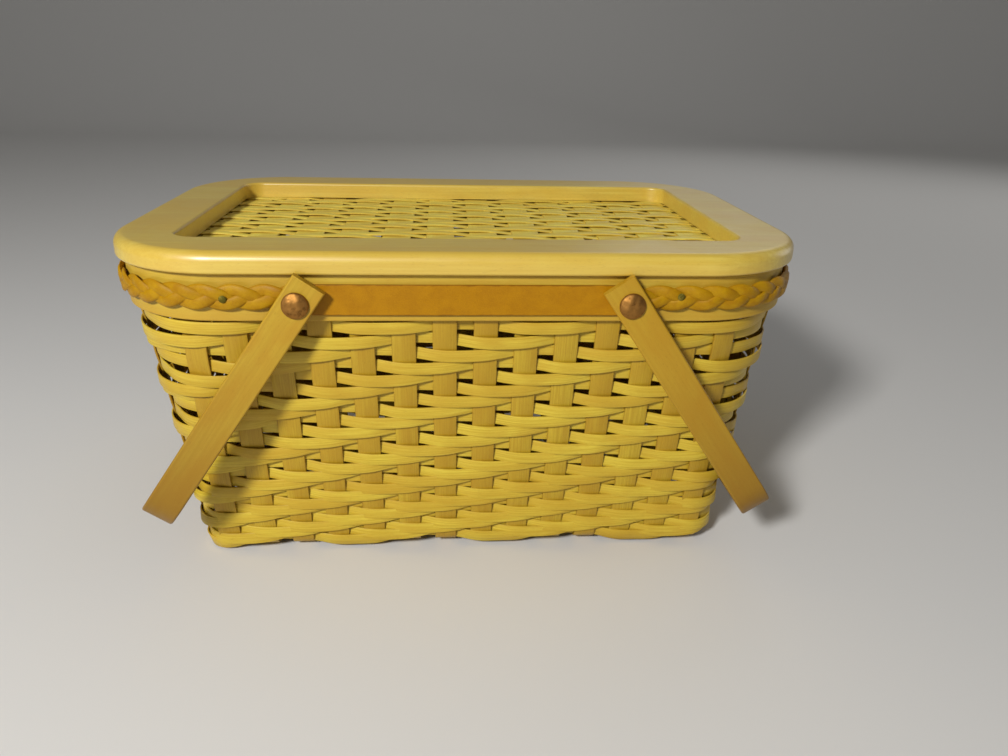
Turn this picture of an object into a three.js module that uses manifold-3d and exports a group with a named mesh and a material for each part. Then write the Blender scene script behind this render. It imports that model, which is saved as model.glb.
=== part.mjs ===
// A lidded, tapered picnic basket of maple splints with two swing handles.
// Millimetres, +Z up, +X along the basket's length, -Y towards the front.
// The origin is on the ground under the middle of the basket.
import * as THREE from "three";
import { mergeVertices } from "three/addons/utils/BufferGeometryUtils.js";
import Module from "manifold-3d";

const wasm = await Module();
wasm.setup();

// Driving dimensions: clearances
const fitGap = 0.3; // between pieces that touch, and round each rivet
const weaveGap = 0.35; // between a weaver and the splints that it passes
const weaverGap = 0.5; // between one row of weaving and the next
const edgeEase = 0.6; // a weaver stays level this far past a splint's edge
const lidSideGap = 0.5; // between the lid's edge and a handle's arm
const tonguePlay = 1.2; // between the lid's tongue and the inner rim band
const handsApart = 0.5; // from each raised handle to the middle plane

// Driving dimensions: splints and weave
const splintThickness = 1.0;
const stakeWidth = 12;
const stakePitch = 20.3;
const crossCount = 14; // splints that run front, base, back
const longCount = 8; // splints that run end, base, end
const weaverCount = 24;
const weaverStock = 6.4; // full width of a weaver; where the rows lie closer it is narrower
const endMargin = 7.8; // last cross splint's edge to the base's end
const sideMargin = 10.4; // last long splint's edge to the base's front
const baseFold = 7; // the splints start to turn up this far from the base's edge
const baseCornerRadius = 12;
const wallBow = 0.8; // the walls are this much hollow at half height
const foldWoven = 0.5; // share of the fold that the lowest weaver covers
const weaveBelowRim = 1.8; // the top weaver's row starts this far under the rim bands
const rowCrowding = 0.22; // how much closer than the mean the rows lie at the foot, and wider at the top
const rimFlare = 24.5; // the rim stands this far outside the base
const wallHeight = 147.9; // ground to the lower edge of the rim bands

// Driving dimensions: rim and leather
const rimHeight = 20.8;
const rimThickness = 2.6;
const rimCornerRadius = 54;
const outerRimStandoff = 1.15; // inner face of the outer rim band, from the splints' middle
const strapHeight = 16.3;
const strapThickness = 1.6;
const strapPastRivet = 3.5;
const braidHeight = 12.8;
const braidThickness = 3.1;
const braidShoulder = 1.7; // its thickness at the upper and the lower edge
const braidEdgeRound = 1.2;
const braidBelowRimTop = 3.4;
const braidEndGap = 0.5;

// Driving dimensions: handles and rivets
const handleReach = 145; // rivet to the middle of the grip
const handleTail = 12; // rivet to the arm's upper end
const handleWidth = 17;
const handleThickness = 4;
const handleBendRadius = 20; // on the strip's middle
const handleChamfer = 0.9;
const rivetAboveRimFoot = 9.3;
const rivetShankRadius = 1.75;
const rivetHeadRadius = 6.35;
const rivetHeadHeight = 3.3;
const burrRadius = 5;
const burrThickness = 1.2;

// Driving dimensions: lid
const lidThickness = 12;
const lidOverhang = 7.8; // past the splints' middle at the rim
const lidRailWidth = 33.5;
const lidCornerRadius = 62;
const lidOpeningRadius = 11.5;
const lidTopRound = 4.5;
const lidBottomRound = 3;
const lidInnerRound = 1.6;
const panelThickness = 2;
const panelTuck = 5; // how far the woven panel reaches under the rails
const tongueWidth = 8;
const tongueDepth = 5.5;

// Driving dimensions: weave of the lid's panel
const panelSplintCount = 12;
const panelSplintWidth = 16;
const panelSplintPitch = 24.6;
const panelRowCount = 32;
const panelRowGap = 0.5;
const floatRise = 1.2; // height of a weaver where it lies over two splints
const floatSlope = 3; // length in which it rises and falls
const floatSeat = 0.5; // depth to which it is let into the splints' face
const slotDepth = 3; // front to back, of the opening where a weaver comes up

// Facets
const cornerSteps = 5; // to a quarter turn
const weaverCornerSteps = 2; // between the last splint of one wall and the first of the next
const bendSteps = 5;
const foldSteps = 4;
const wallSteps = 12;
const roundSides = 9;
const domeSteps = 3;
const edgeSteps = 2; // to each rounded edge of the lid
const slopeStep = 0.05; // length over which a curve's slope is taken
const samePoint = 0.001; // points nearer than this are one
const straightEnough = 0.06; // a section this near the line between its neighbours is left out

// Sizes that follow
const halfSplint = splintThickness / 2;
const halfStake = stakeWidth / 2;
const weaveOffset = splintThickness + weaveGap; // a weaver's middle from a splint's middle
const weaveReach = weaveOffset + halfSplint; // the weave's faces from a splint's middle
const baseLevel = weaveReach; // the base splints' middle height
const outermostX = ((crossCount - 1) / 2) * stakePitch;
const outermostY = ((longCount - 1) / 2) * stakePitch;
const rimHalfX = outermostX + halfStake + endMargin + rimFlare;
const rimHalfY = outermostY + halfStake + sideMargin + rimFlare;
const rimTop = wallHeight + rimHeight;
const outerRimFace = outerRimStandoff + rimThickness;
const innerRimFace = halfSplint + fitGap + rimThickness;
const leatherBack = outerRimFace + fitGap;
const lidBottom = rimTop + fitGap;
const lidTop = lidBottom + lidThickness;
const lidHalfX = rimHalfX + lidOverhang;
const lidHalfY = rimHalfY + lidOverhang;
const armInnerFace = lidHalfY + lidSideGap;
const armMiddle = armInnerFace + handleThickness / 2;
const armOuterFace = armInnerFace + handleThickness;
const rivetHoleRadius = rivetShankRadius + fitGap;
const rivetLevel = wallHeight + rivetAboveRimFoot;
// Each rivet passes the wall just outside the fourth cross splint from the end.
const rivetSplint = 3;
const rivetX =
  outermostX - rivetSplint * stakePitch + halfStake + rivetHoleRadius + fitGap / 2;

// Finishes
const finish = (color, roughness, metalness = 0) =>
  new THREE.MeshStandardMaterial({ color, roughness, metalness });
const weaverMaple = finish(0xd9ac55, 0.5);
const splintMaple = finish(0xcf9d49, 0.55);
const railMaple = finish(0xd2a661, 0.4);
const tanLeather = finish(0xc98f35, 0.5);
const copper = finish(0x9a6a49, 0.35, 1);

const basket = new THREE.Group();

// Adds one named piece to the basket.
function addPiece(name, geometry, material) {
  const mesh = new THREE.Mesh(geometry, material);
  mesh.name = name;
  basket.add(mesh);
}

// A closed surface through rings of points, with its faces turned outwards.
// Each ring joins the next; the last joins the first, or both ends are capped.
function skin(rings, closed) {
  const around = rings[0].length;
  const index = [];
  const last = closed ? rings.length : rings.length - 1;
  for (let i = 0; i < last; i++) {
    const here = i * around;
    const next = ((i + 1) % rings.length) * around;
    for (let j = 0; j < around; j++) {
      const k = (j + 1) % around;
      index.push(here + j, here + k, next + k);
      index.push(here + j, next + k, next + j);
    }
  }
  if (!closed) {
    const end = (rings.length - 1) * around;
    for (let j = 1; j < around - 1; j++) {
      index.push(0, j + 1, j);
      index.push(end, end + j, end + j + 1);
    }
  }
  const points = rings.flat();
  const geometry = new THREE.BufferGeometry().setFromPoints(points);
  geometry.setIndex(volumeOf(points, index) < 0 ? index.reverse() : index);
  return geometry;
}

// Signed volume: negative where the faces point inwards.
function volumeOf(points, index) {
  let six = 0;
  for (let i = 0; i < index.length; i += 3) {
    const [a, b, c] = [points[index[i]], points[index[i + 1]], points[index[i + 2]]];
    six += a.dot(new THREE.Vector3().crossVectors(b, c));
  }
  return six / 6;
}

// Leaves out the sections that lie on a straight run between their neighbours.
function thinned(sections) {
  const kept = [sections[0]];
  const line = new THREE.Line3();
  const nearest = new THREE.Vector3();
  const onLine = (from, to, between) =>
    between.every((section) =>
      section.every((point, corner) => {
        line.set(from[corner], to[corner]);
        return line.closestPointToPoint(point, true, nearest).distanceTo(point) < straightEnough;
      }),
    );
  let start = 0;
  for (let i = 1; i < sections.length - 1; i++) {
    if (onLine(sections[start], sections[i + 1], sections.slice(start + 1, i + 1))) continue;
    kept.push(sections[i]);
    start = i;
  }
  kept.push(sections[sections.length - 1]);
  return kept;
}

// Three.js geometry as a solid that can be cut, and back again.
function toSolid(geometry) {
  const bare = geometry.clone();
  bare.deleteAttribute("normal");
  bare.deleteAttribute("uv");
  const merged = mergeVertices(bare, samePoint);
  return new wasm.Manifold(
    new wasm.Mesh({
      numProp: 3,
      vertProperties: merged.attributes.position.array,
      triVerts: new Uint32Array(merged.index.array),
    }),
  );
}

function toGeometry(solid) {
  const mesh = solid.getMesh();
  const geometry = new THREE.BufferGeometry();
  geometry.setAttribute("position", new THREE.BufferAttribute(mesh.vertProperties, 3));
  geometry.setIndex(new THREE.BufferAttribute(mesh.triVerts, 1));
  return geometry;
}

// Drills a round hole along Y at each of the given places.
function drill(geometry, places, yFrom, yTo) {
  let solid = toSolid(geometry);
  for (const { x, z, side } of places) {
    const bit = new THREE.CylinderGeometry(rivetHoleRadius, rivetHoleRadius, yTo - yFrom, roundSides);
    bit.translate(x, (side * (yFrom + yTo)) / 2, z);
    solid = solid.subtract(toSolid(bit));
  }
  return toGeometry(solid);
}

// The wall's side view: how far a splint's middle lies inside the rim line, and its height.
const wallProfile = (() => {
  const baseEdge = new THREE.Vector2(rimFlare, baseLevel);
  const rimFoot = new THREE.Vector2(0, wallHeight);
  const rise = rimFoot.clone().sub(baseEdge).normalize();
  const inward = new THREE.Vector2(rise.y, -rise.x);
  const hollow = baseEdge.clone().add(rimFoot).multiplyScalar(0.5).addScaledVector(inward, 2 * wallBow);
  const foot = baseEdge.clone().lerp(hollow, baseFold / baseEdge.distanceTo(hollow));
  const path = new THREE.Path();
  path.moveTo(rimFlare + baseFold, baseLevel);
  path.quadraticCurveTo(baseEdge.x, baseEdge.y, foot.x, foot.y);
  path.quadraticCurveTo(hollow.x, hollow.y, rimFoot.x, rimFoot.y);
  path.lineTo(0, rimTop - fitGap);
  return path;
})();
const [foldLength, wallLength, rimLength] = wallProfile.curves.map((curve) => curve.getLength());
const profileLength = foldLength + wallLength + rimLength;
const weaveTop = foldLength + wallLength - weaveBelowRim;
const weaveFoot = foldLength * (1 - foldWoven);
const meanRow = (weaveTop - weaveFoot) / weaverCount;

// Length up the profile of a row's upper edge. Rows count from the top; the row below starts
// where one ends, and each is a little lower than the one above it.
const rowEdge = (row) => weaveTop - meanRow * row * (1 + rowCrowding * (1 - row / weaverCount));
const rowMiddle = (row) => (rowEdge(row) + rowEdge(row + 1)) / 2;
const weaverWidth = (row) => Math.min(weaverStock, rowEdge(row) - rowEdge(row + 1) - weaverGap);

// Inset and height of the surface at a length up the profile, moved outwards by offset.
function level(length, offset = 0) {
  const at = (l) => wallProfile.getPoint(THREE.MathUtils.clamp(l / profileLength, 0, 1));
  const point = at(length);
  const rise = at(length + slopeStep).sub(at(length - slopeStep)).normalize();
  return { inset: point.x - rise.y * offset, z: point.y + rise.x * offset };
}

// The rounded rectangle that the splints' middles follow at a given inset and height.
// Under the fold its corners keep their centres.
function outline(inset, z) {
  const up = THREE.MathUtils.clamp((z - baseLevel) / (wallHeight - baseLevel), 0, 1);
  const folded = Math.max(0, inset - rimFlare);
  const radius = THREE.MathUtils.lerp(baseCornerRadius, rimCornerRadius, up) - folded;
  return { halfX: rimHalfX - inset, halfY: rimHalfY - inset, radius };
}

// One wall's splint on the outline, seen from that wall: along is the place along the wall.
// Returns its middle, its outward direction and its direction along the wall.
function wallPlace({ halfX, halfY, radius }, wall, along) {
  const [reach, half] = wall.longSide ? [halfY, halfX] : [halfX, halfY];
  const past = Math.max(0, Math.abs(along) - (half - radius));
  const turn = Math.sign(along) * Math.asin(Math.min(1, past / radius));
  const drop = radius * (1 - Math.cos(turn));
  const middle = new THREE.Vector2(along, drop - reach).rotateAround(new THREE.Vector2(), wall.turn);
  const out = new THREE.Vector2(Math.sin(turn), -Math.cos(turn)).rotateAround(
    new THREE.Vector2(),
    wall.turn,
  );
  return { middle, out, along: new THREE.Vector2(-out.y, out.x), turn };
}

// The four walls in order round the basket: front, right end, back, left end.
const walls = [
  { longSide: true, turn: 0, count: crossCount },
  { longSide: false, turn: Math.PI / 2, count: longCount },
  { longSide: true, turn: Math.PI, count: crossCount },
  { longSide: false, turn: -Math.PI / 2, count: longCount },
];
const placeAlong = (wall, i) => (i - (wall.count - 1) / 2) * stakePitch;

// Twill: a weaver passes over two splints and under two, one splint back on each row down.
const passesOver = (row, place) => (place + row) % 4 < 2;

// One cross-section of a weaver: out and in, at its lower and its upper edge.
function weaverSection(row, outward, horizontal) {
  const middle = rowMiddle(row);
  const inset = level(middle).inset;
  return [
    [-1, -1],
    [-1, 1],
    [1, 1],
    [1, -1],
  ].map(([edge, face]) => {
    const corner = level(middle + (edge * weaverWidth(row)) / 2, outward * weaveOffset + face * halfSplint);
    const { x, y } = horizontal(inset - corner.inset);
    return new THREE.Vector3(x, y, corner.z);
  });
}

function weaver(row) {
  const middle = level(rowMiddle(row));
  const shape = outline(middle.inset, middle.z);
  const total = walls.reduce((sum, wall) => sum + wall.count, 0);
  const sections = [];
  let place = 0;
  const sideAt = (p) => (passesOver(row, p % total) ? 1 : -1);
  for (const wall of walls) {
    for (let i = 0; i < wall.count; i++, place++) {
      const side = sideAt(place);
      const splint = wallPlace(shape, wall, placeAlong(wall, i));
      for (const edge of [-1, 1]) {
        const along = edge * (halfStake + edgeEase);
        sections.push(
          weaverSection(row, side, (out) =>
            splint.middle.clone().addScaledVector(splint.along, along).addScaledVector(splint.out, out),
          ),
        );
      }
    }
    // Round the corner to the next wall.
    const next = walls[(walls.indexOf(wall) + 1) % walls.length];
    const leaving = wallPlace(shape, wall, placeAlong(wall, wall.count - 1)).turn;
    const arriving = Math.PI / 2 + wallPlace(shape, next, placeAlong(next, 0)).turn;
    const centre = new THREE.Vector2(
      (wall.longSide ? shape.halfX : shape.halfY) - shape.radius,
      shape.radius - (wall.longSide ? shape.halfY : shape.halfX),
    );
    for (let step = 1; step < weaverCornerSteps; step++) {
      const part = step / weaverCornerSteps;
      const turn = THREE.MathUtils.lerp(leaving, arriving, part);
      const outward = THREE.MathUtils.lerp(sideAt(place - 1), sideAt(place), part);
      sections.push(
        weaverSection(row, outward, (out) =>
          new THREE.Vector2(Math.sin(turn), -Math.cos(turn))
            .multiplyScalar(shape.radius + out)
            .add(centre)
            .rotateAround(new THREE.Vector2(), wall.turn),
        ),
      );
    }
  }
  return skin(thinned(sections), true);
}

for (let row = 0; row < weaverCount; row++) {
  addPiece("weaver_" + String(row + 1).padStart(2, "0"), weaver(row), weaverMaple);
}

// Cross-sections of one splint up one wall, from the base to the rim.
// lift is its offset at the base's edge, which is gone where the weaving starts.
function wallSections(wall, along, lift) {
  const lengths = [];
  for (let i = 1; i <= foldSteps; i++) {
    lengths.push((foldLength * i) / foldSteps);
  }
  for (let i = 1; i <= wallSteps; i++) {
    lengths.push(foldLength + (wallLength * i) / wallSteps);
  }
  lengths.push(profileLength);
  return lengths.map((length) => {
    const middle = level(length);
    const splint = wallPlace(outline(middle.inset, middle.z), wall, along);
    const offset = lift * Math.max(0, 1 - length / weaveFoot);
    return [
      [-1, -1],
      [-1, 1],
      [1, 1],
      [1, -1],
    ].map(([edge, face]) => {
      const skinLevel = level(length, offset + face * halfSplint);
      const at = splint.middle
        .clone()
        .addScaledVector(splint.along, edge * halfStake)
        .addScaledVector(splint.out, middle.inset - skinLevel.inset);
      return new THREE.Vector3(at.x, at.y, skinLevel.z);
    });
  });
}

// The same four corners where a splint lies flat in the base.
// along and across follow the wall that the splint starts from.
function baseSection(wall, along, across, lift) {
  return [
    [-1, -1],
    [-1, 1],
    [1, 1],
    [1, -1],
  ].map(([edge, face]) => {
    const at = new THREE.Vector2(along + edge * halfStake, across).rotateAround(
      new THREE.Vector2(),
      wall.turn,
    );
    return new THREE.Vector3(at.x, at.y, baseLevel - lift - face * halfSplint);
  });
}

// A splint from one wall through the base to the wall opposite.
// The cross splints lie level in the base; the long ones go over two of them and under two.
function splint(wall, i) {
  const opposite = walls[(walls.indexOf(wall) + 2) % walls.length];
  const along = placeAlong(wall, i);
  const crossings = wall.longSide ? 0 : crossCount;
  const liftAt = (crossing) => (passesOver(i, crossing) ? 1 : -1) * weaveOffset;
  const firstLift = crossings ? liftAt(0) : 0;
  const lastLift = crossings ? liftAt(crossings - 1) : 0;
  const base = [];
  for (let crossing = 0; crossing < crossings; crossing++) {
    const across = (crossing - (crossings - 1) / 2) * stakePitch;
    for (const edge of [-1, 1]) {
      base.push(baseSection(wall, along, across + edge * (halfStake + edgeEase), liftAt(crossing)));
    }
  }
  if (!crossings) {
    const flat = rimHalfY - rimFlare - baseFold;
    base.push(baseSection(wall, along, -flat, 0), baseSection(wall, along, flat, 0));
  }
  const near = wallSections(wall, along, firstLift).reverse();
  // Seen from the opposite wall the splint's edges swap, so each section is turned round.
  const far = wallSections(opposite, -along, lastLift).map(([a, b, c, d]) => [d, c, b, a]);
  return skin(thinned([...near, ...base, ...far]), false);
}

const [front, rightEnd] = walls;
for (let i = 0; i < crossCount; i++) {
  addPiece("cross_splint_" + String(i + 1).padStart(2, "0"), splint(front, i), splintMaple);
}
for (let i = 0; i < longCount; i++) {
  addPiece("long_splint_" + String(i + 1).padStart(2, "0"), splint(rightEnd, i), splintMaple);
}

// Points round a level rounded rectangle, counter-clockwise from the front right corner.
// The facets of a face that looks inwards touch the true curve from outside, and those of a
// face that looks outwards from inside, so that faces that meet keep their clearance.
function loop(halfX, halfY, radius, z, looksInwards = false) {
  const facets = looksInwards ? cornerSteps + 1 : cornerSteps;
  const reach = looksInwards ? radius / Math.cos(Math.PI / 4 / facets) : radius;
  const corners = [
    [1, -1],
    [1, 1],
    [-1, 1],
    [-1, -1],
  ];
  return corners.flatMap(([sideX, sideY], quarter) =>
    Array.from({ length: cornerSteps + 1 }, (_, i) => {
      const part = (looksInwards ? i + 0.5 : i) / facets;
      const angle = ((quarter - 1 + part) * Math.PI) / 2;
      const x = sideX * (halfX - radius) + reach * Math.cos(angle);
      const y = sideY * (halfY - radius) + reach * Math.sin(angle);
      return new THREE.Vector3(x, y, z);
    }),
  );
}

// A loop at a distance outside the line of the splints' middles at the rim.
const rimLoop = (out, z, looksInwards) =>
  loop(rimHalfX + out, rimHalfY + out, rimCornerRadius + out, z, looksInwards);

// The four rivet places, named from the basket's front.
const rivetPlaces = [
  { name: "front_left_rivet", x: -rivetX, side: -1 },
  { name: "front_right_rivet", x: rivetX, side: -1 },
  { name: "back_left_rivet", x: -rivetX, side: 1 },
  { name: "back_right_rivet", x: rivetX, side: 1 },
].map((place) => ({ ...place, z: rivetLevel }));

// The two wooden bands that clamp the splints' upper ends.
function rimBand(inside, outside) {
  const band = skin(
    [
      rimLoop(inside, wallHeight, true),
      rimLoop(outside, wallHeight),
      rimLoop(outside, rimTop),
      rimLoop(inside, rimTop, true),
    ],
    true,
  );
  return drill(band, rivetPlaces, rimHalfY + inside - rimThickness, rimHalfY + outside + rimThickness);
}
addPiece("inner_rim_band", rimBand(-innerRimFace, -halfSplint - fitGap), railMaple);
addPiece("outer_rim_band", rimBand(outerRimStandoff, outerRimFace), railMaple);

// The plain leather band on the front and on the back, held by the rivets at its ends.
function strap(side) {
  const length = 2 * (rivetX + strapPastRivet);
  const box = new THREE.BoxGeometry(length, strapThickness, strapHeight);
  box.translate(0, side * (rimHalfY + leatherBack + strapThickness / 2), wallHeight + rimHeight / 2);
  const places = rivetPlaces.filter((place) => place.side === side);
  return drill(box, places, rimHalfY + outerRimFace, armOuterFace);
}
addPiece("front_leather_band", strap(-1), tanLeather);
addPiece("back_leather_band", strap(1), tanLeather);

// The leather braid's body, round one end from rivet to rivet.
function braid(side) {
  const top = rimTop - braidBelowRimTop;
  const foot = top - braidHeight;
  const rows = [
    [0, top - braidEdgeRound],
    [braidShoulder, top],
    [braidThickness, top - braidHeight / 4],
    [braidThickness, foot + braidHeight / 4],
    [braidShoulder, foot],
    [0, foot + braidEdgeRound],
  ];
  const start = rivetX + strapPastRivet + braidEndGap;
  const edges = rows.map(([out, z]) => {
    const round = rimLoop(leatherBack + out, z, out === 0).filter((point) => point.x > 0);
    const y = rimHalfY + leatherBack + out;
    return [new THREE.Vector3(start, -y, z), ...round, new THREE.Vector3(start, y, z)];
  });
  const sections = edges[0].map((_, i) => edges.map((edge) => edge[i]));
  for (const point of sections.flat()) point.x *= side;
  return skin(sections, false);
}
addPiece("left_braid", braid(-1), tanLeather);
addPiece("right_braid", braid(1), tanLeather);

// A handle hangs until a corner of its grip meets the weave of the end wall.
const hangAngle = (() => {
  const slope = rimFlare / (wallHeight - baseLevel);
  const wallAt = (z) => rimHalfX - slope * (wallHeight - z) + weaveReach + fitGap;
  const clear = (angle) => {
    const [sin, cos] = [Math.sin(angle), Math.cos(angle)];
    return [-1, 1].every((face) => {
      const reach = handleReach + (face * handleThickness) / 2;
      const x = rivetX + reach * sin - (handleWidth / 2) * cos;
      const z = rivetLevel - reach * cos - (handleWidth / 2) * sin;
      return x >= wallAt(z);
    });
  };
  let [touching, free] = [0, Math.PI / 2];
  for (let i = 0; i < 40; i++) {
    const middle = (touching + free) / 2;
    if (clear(middle)) free = middle;
    else touching = middle;
  }
  return free;
})();

// A bent strip: up one arm, round the bend, along the grip, and down the other arm.
function handle(side) {
  const down = new THREE.Vector3(side * Math.sin(hangAngle), 0, -Math.cos(hangAngle));
  const across = new THREE.Vector3(Math.cos(hangAngle), 0, side * Math.sin(hangAngle));
  const pivot = new THREE.Vector3(side * rivetX, 0, rivetLevel);
  const bendAt = handleReach - handleBendRadius;
  const quarter = [{ reach: -handleTail, y: -armMiddle, turn: 0 }];
  for (let i = 0; i <= bendSteps; i++) {
    const turn = ((i / bendSteps) * Math.PI) / 2;
    quarter.push({
      reach: bendAt + handleBendRadius * Math.sin(turn),
      y: -armMiddle + handleBendRadius * (1 - Math.cos(turn)),
      turn,
    });
  }
  const mirrored = quarter.map(({ reach, y, turn }) => ({ reach, y: -y, turn: Math.PI - turn }));
  const stations = [...quarter, ...mirrored.reverse()];
  const wide = handleWidth / 2;
  const thick = handleThickness / 2;
  const corners = [
    [wide - handleChamfer, -thick],
    [wide, handleChamfer - thick],
    [wide, thick - handleChamfer],
    [wide - handleChamfer, thick],
    [handleChamfer - wide, thick],
    [-wide, thick - handleChamfer],
    [-wide, handleChamfer - thick],
    [handleChamfer - wide, -thick],
  ];
  const sections = stations.map(({ reach, y, turn }) =>
    corners.map(([width, thickness]) =>
      pivot
        .clone()
        .addScaledVector(down, reach + thickness * Math.sin(turn))
        .addScaledVector(across, width)
        .add(new THREE.Vector3(0, y - thickness * Math.cos(turn), 0)),
    ),
  );
  const places = rivetPlaces.filter((place) => Math.sign(place.x) === side);
  return drill(skin(sections, false), places, armInnerFace - lidSideGap, armOuterFace + lidSideGap);
}
addPiece("left_handle", handle(-1), railMaple);
addPiece("right_handle", handle(1), railMaple);

// A domed rivet through the arm and the rim, with a flat burr inside the basket.
function rivet({ x, z, side }) {
  const burrFace = rimHalfY - innerRimFace - fitGap;
  const headFoot = armOuterFace + fitGap;
  const dome = Array.from({ length: domeSteps + 1 }, (_, i) => {
    const angle = (i * Math.PI) / 2 / domeSteps;
    return [rivetHeadRadius * Math.cos(angle), headFoot + rivetHeadHeight * Math.sin(angle)];
  });
  const profile = [
    [0, burrFace - burrThickness],
    [burrRadius, burrFace - burrThickness],
    [burrRadius, burrFace],
    [rivetShankRadius, burrFace],
    [rivetShankRadius, headFoot],
    ...dome,
  ].map(([radius, y]) => new THREE.Vector2(radius, y));
  const geometry = new THREE.LatheGeometry(profile, roundSides);
  if (side < 0) geometry.rotateX(Math.PI);
  geometry.translate(x, 0, z);
  return toGeometry(toSolid(geometry));
}
for (const place of rivetPlaces) addPiece(place.name, rivet(place), copper);

// The lid's frame: rounded edges, a rebate below for the panel, and a tongue that drops inside the rim.
function lidFrame() {
  const lidLoop = (inset, z) => loop(lidHalfX - inset, lidHalfY - inset, lidCornerRadius - inset, z);
  const openingLoop = (out, z) =>
    loop(
      lidHalfX - lidRailWidth + out,
      lidHalfY - lidRailWidth + out,
      lidOpeningRadius + out,
      z,
      true,
    );
  const tongueLoop = (inset, z) => rimLoop(-innerRimFace - tonguePlay - inset, z);
  const rounded = (radius, from, at) =>
    Array.from({ length: edgeSteps + 1 }, (_, i) => {
      const angle = from + (i * Math.PI) / 2 / edgeSteps;
      return at(radius * (1 - Math.cos(angle)), radius * Math.sin(angle));
    });
  const half = Math.PI / 2;
  const rebateTop = lidBottom + panelThickness + fitGap;
  return skin(
    [
      ...rounded(lidBottomRound, -half, (inset, rise) => lidLoop(inset, lidBottom + lidBottomRound + rise)),
      ...rounded(lidTopRound, 0, (inset, rise) => lidLoop(inset, lidTop - lidTopRound + rise)),
      openingLoop(lidInnerRound, lidTop),
      openingLoop(0, lidTop - lidInnerRound),
      openingLoop(0, rebateTop),
      openingLoop(panelTuck, rebateTop),
      openingLoop(panelTuck, lidBottom),
      tongueLoop(tongueWidth, lidBottom),
      tongueLoop(tongueWidth, lidBottom - tongueDepth),
      tongueLoop(0, lidBottom - tongueDepth),
      tongueLoop(0, lidBottom),
    ],
    true,
  );
}
addPiece("lid_frame", lidFrame(), railMaple);

// The lid's woven panel, let into the frame from below. Its splints run from front to back.
// Its weavers lie over two splints and under two, one splint back on each row towards the front.
function lidPanel() {
  const reach = lidRailWidth - panelTuck + fitGap;
  const opening = lidRailWidth + fitGap;
  const face = lidBottom + panelThickness;
  const plate = (inset, radius, from, to) => {
    const outlineShape = new THREE.Shape(
      loop(lidHalfX - inset, lidHalfY - inset, radius, 0).map(({ x, y }) => new THREE.Vector2(x, y)),
    );
    const geometry = new THREE.ExtrudeGeometry(outlineShape, { depth: to - from, bevelEnabled: false });
    geometry.translate(0, 0, from);
    return toSolid(geometry);
  };
  const rows = Array.from({ length: panelRowCount }, (_, row) => row);
  const rowSpace = (2 * (lidHalfY - reach)) / panelRowCount;
  const rowWidth = rowSpace - panelRowGap;
  const slotLength = (panelSplintPitch - panelSplintWidth) / 2;
  const floats = [];
  const slots = [];
  for (const row of rows) {
    const y = lidHalfY - reach - (row + 0.5) * rowSpace;
    if (Math.abs(y) > lidHalfY - opening) continue;
    for (let splint = -1; splint < panelSplintCount; splint++) {
      const startsHere = passesOver(row, splint + 4) && !passesOver(row, splint + 3);
      if (!startsHere) continue;
      const start = (splint - panelSplintCount / 2) * panelSplintPitch;
      const end = start + 2 * panelSplintPitch;
      const side = new THREE.Shape([
        new THREE.Vector2(start, -floatSeat),
        new THREE.Vector2(end, -floatSeat),
        new THREE.Vector2(end, 0),
        new THREE.Vector2(end - floatSlope, floatRise),
        new THREE.Vector2(start + floatSlope, floatRise),
        new THREE.Vector2(start, 0),
      ]);
      const bar = new THREE.ExtrudeGeometry(side, { depth: rowWidth, bevelEnabled: false });
      bar.rotateX(Math.PI / 2);
      bar.translate(0, y + rowWidth / 2, face);
      floats.push(toSolid(bar));
      if (Math.abs(start - slotLength / 2) > lidHalfX - opening - slotLength) continue;
      const slot = new THREE.BoxGeometry(slotLength, slotDepth, 2 * lidThickness);
      slot.translate(start - slotLength / 2, y, face);
      slots.push(toSolid(slot));
    }
  }
  const inOpening = plate(opening, lidOpeningRadius - fitGap, lidBottom, lidTop);
  const woven = wasm.Manifold.union(floats).intersect(inOpening);
  const board = plate(reach, lidOpeningRadius + panelTuck - fitGap, lidBottom, face);
  return toGeometry(board.add(woven).subtract(wasm.Manifold.union(slots)));
}
addPiece("lid_woven_panel", lidPanel(), weaverMaple);

// Where the joints are and how far a handle swings, for the drawing's notes.
const raisedAngle = (() => {
  const reach = handleReach + handleThickness / 2;
  const width = handleWidth / 2;
  const lean = Math.atan2(width, reach);
  return Math.asin((rivetX - handsApart) / Math.hypot(reach, width)) - lean;
})();
const degrees = (angle) => THREE.MathUtils.radToDeg(angle).toFixed(3);
console.log("handle hinge at x", rivetX.toFixed(3), "z", rivetLevel.toFixed(3));
console.log("handle hangs at", degrees(hangAngle), "and swings", degrees(Math.PI - hangAngle + raisedAngle));
console.log("lid top", lidTop.toFixed(3), "length", (2 * lidHalfX).toFixed(3), "depth", (2 * lidHalfY).toFixed(3));
const widths = [0, weaverCount - 1].map((row) => weaverWidth(row).toFixed(3));
console.log("weaver width at the top and at the foot", ...widths, "mean row", meanRow.toFixed(3));

export default basket;
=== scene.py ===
import logging
import math
from dataclasses import dataclass
from enum import Enum
from typing import Callable

import bmesh
import bpy
import numpy as np
from mathutils import Matrix, Vector


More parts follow.
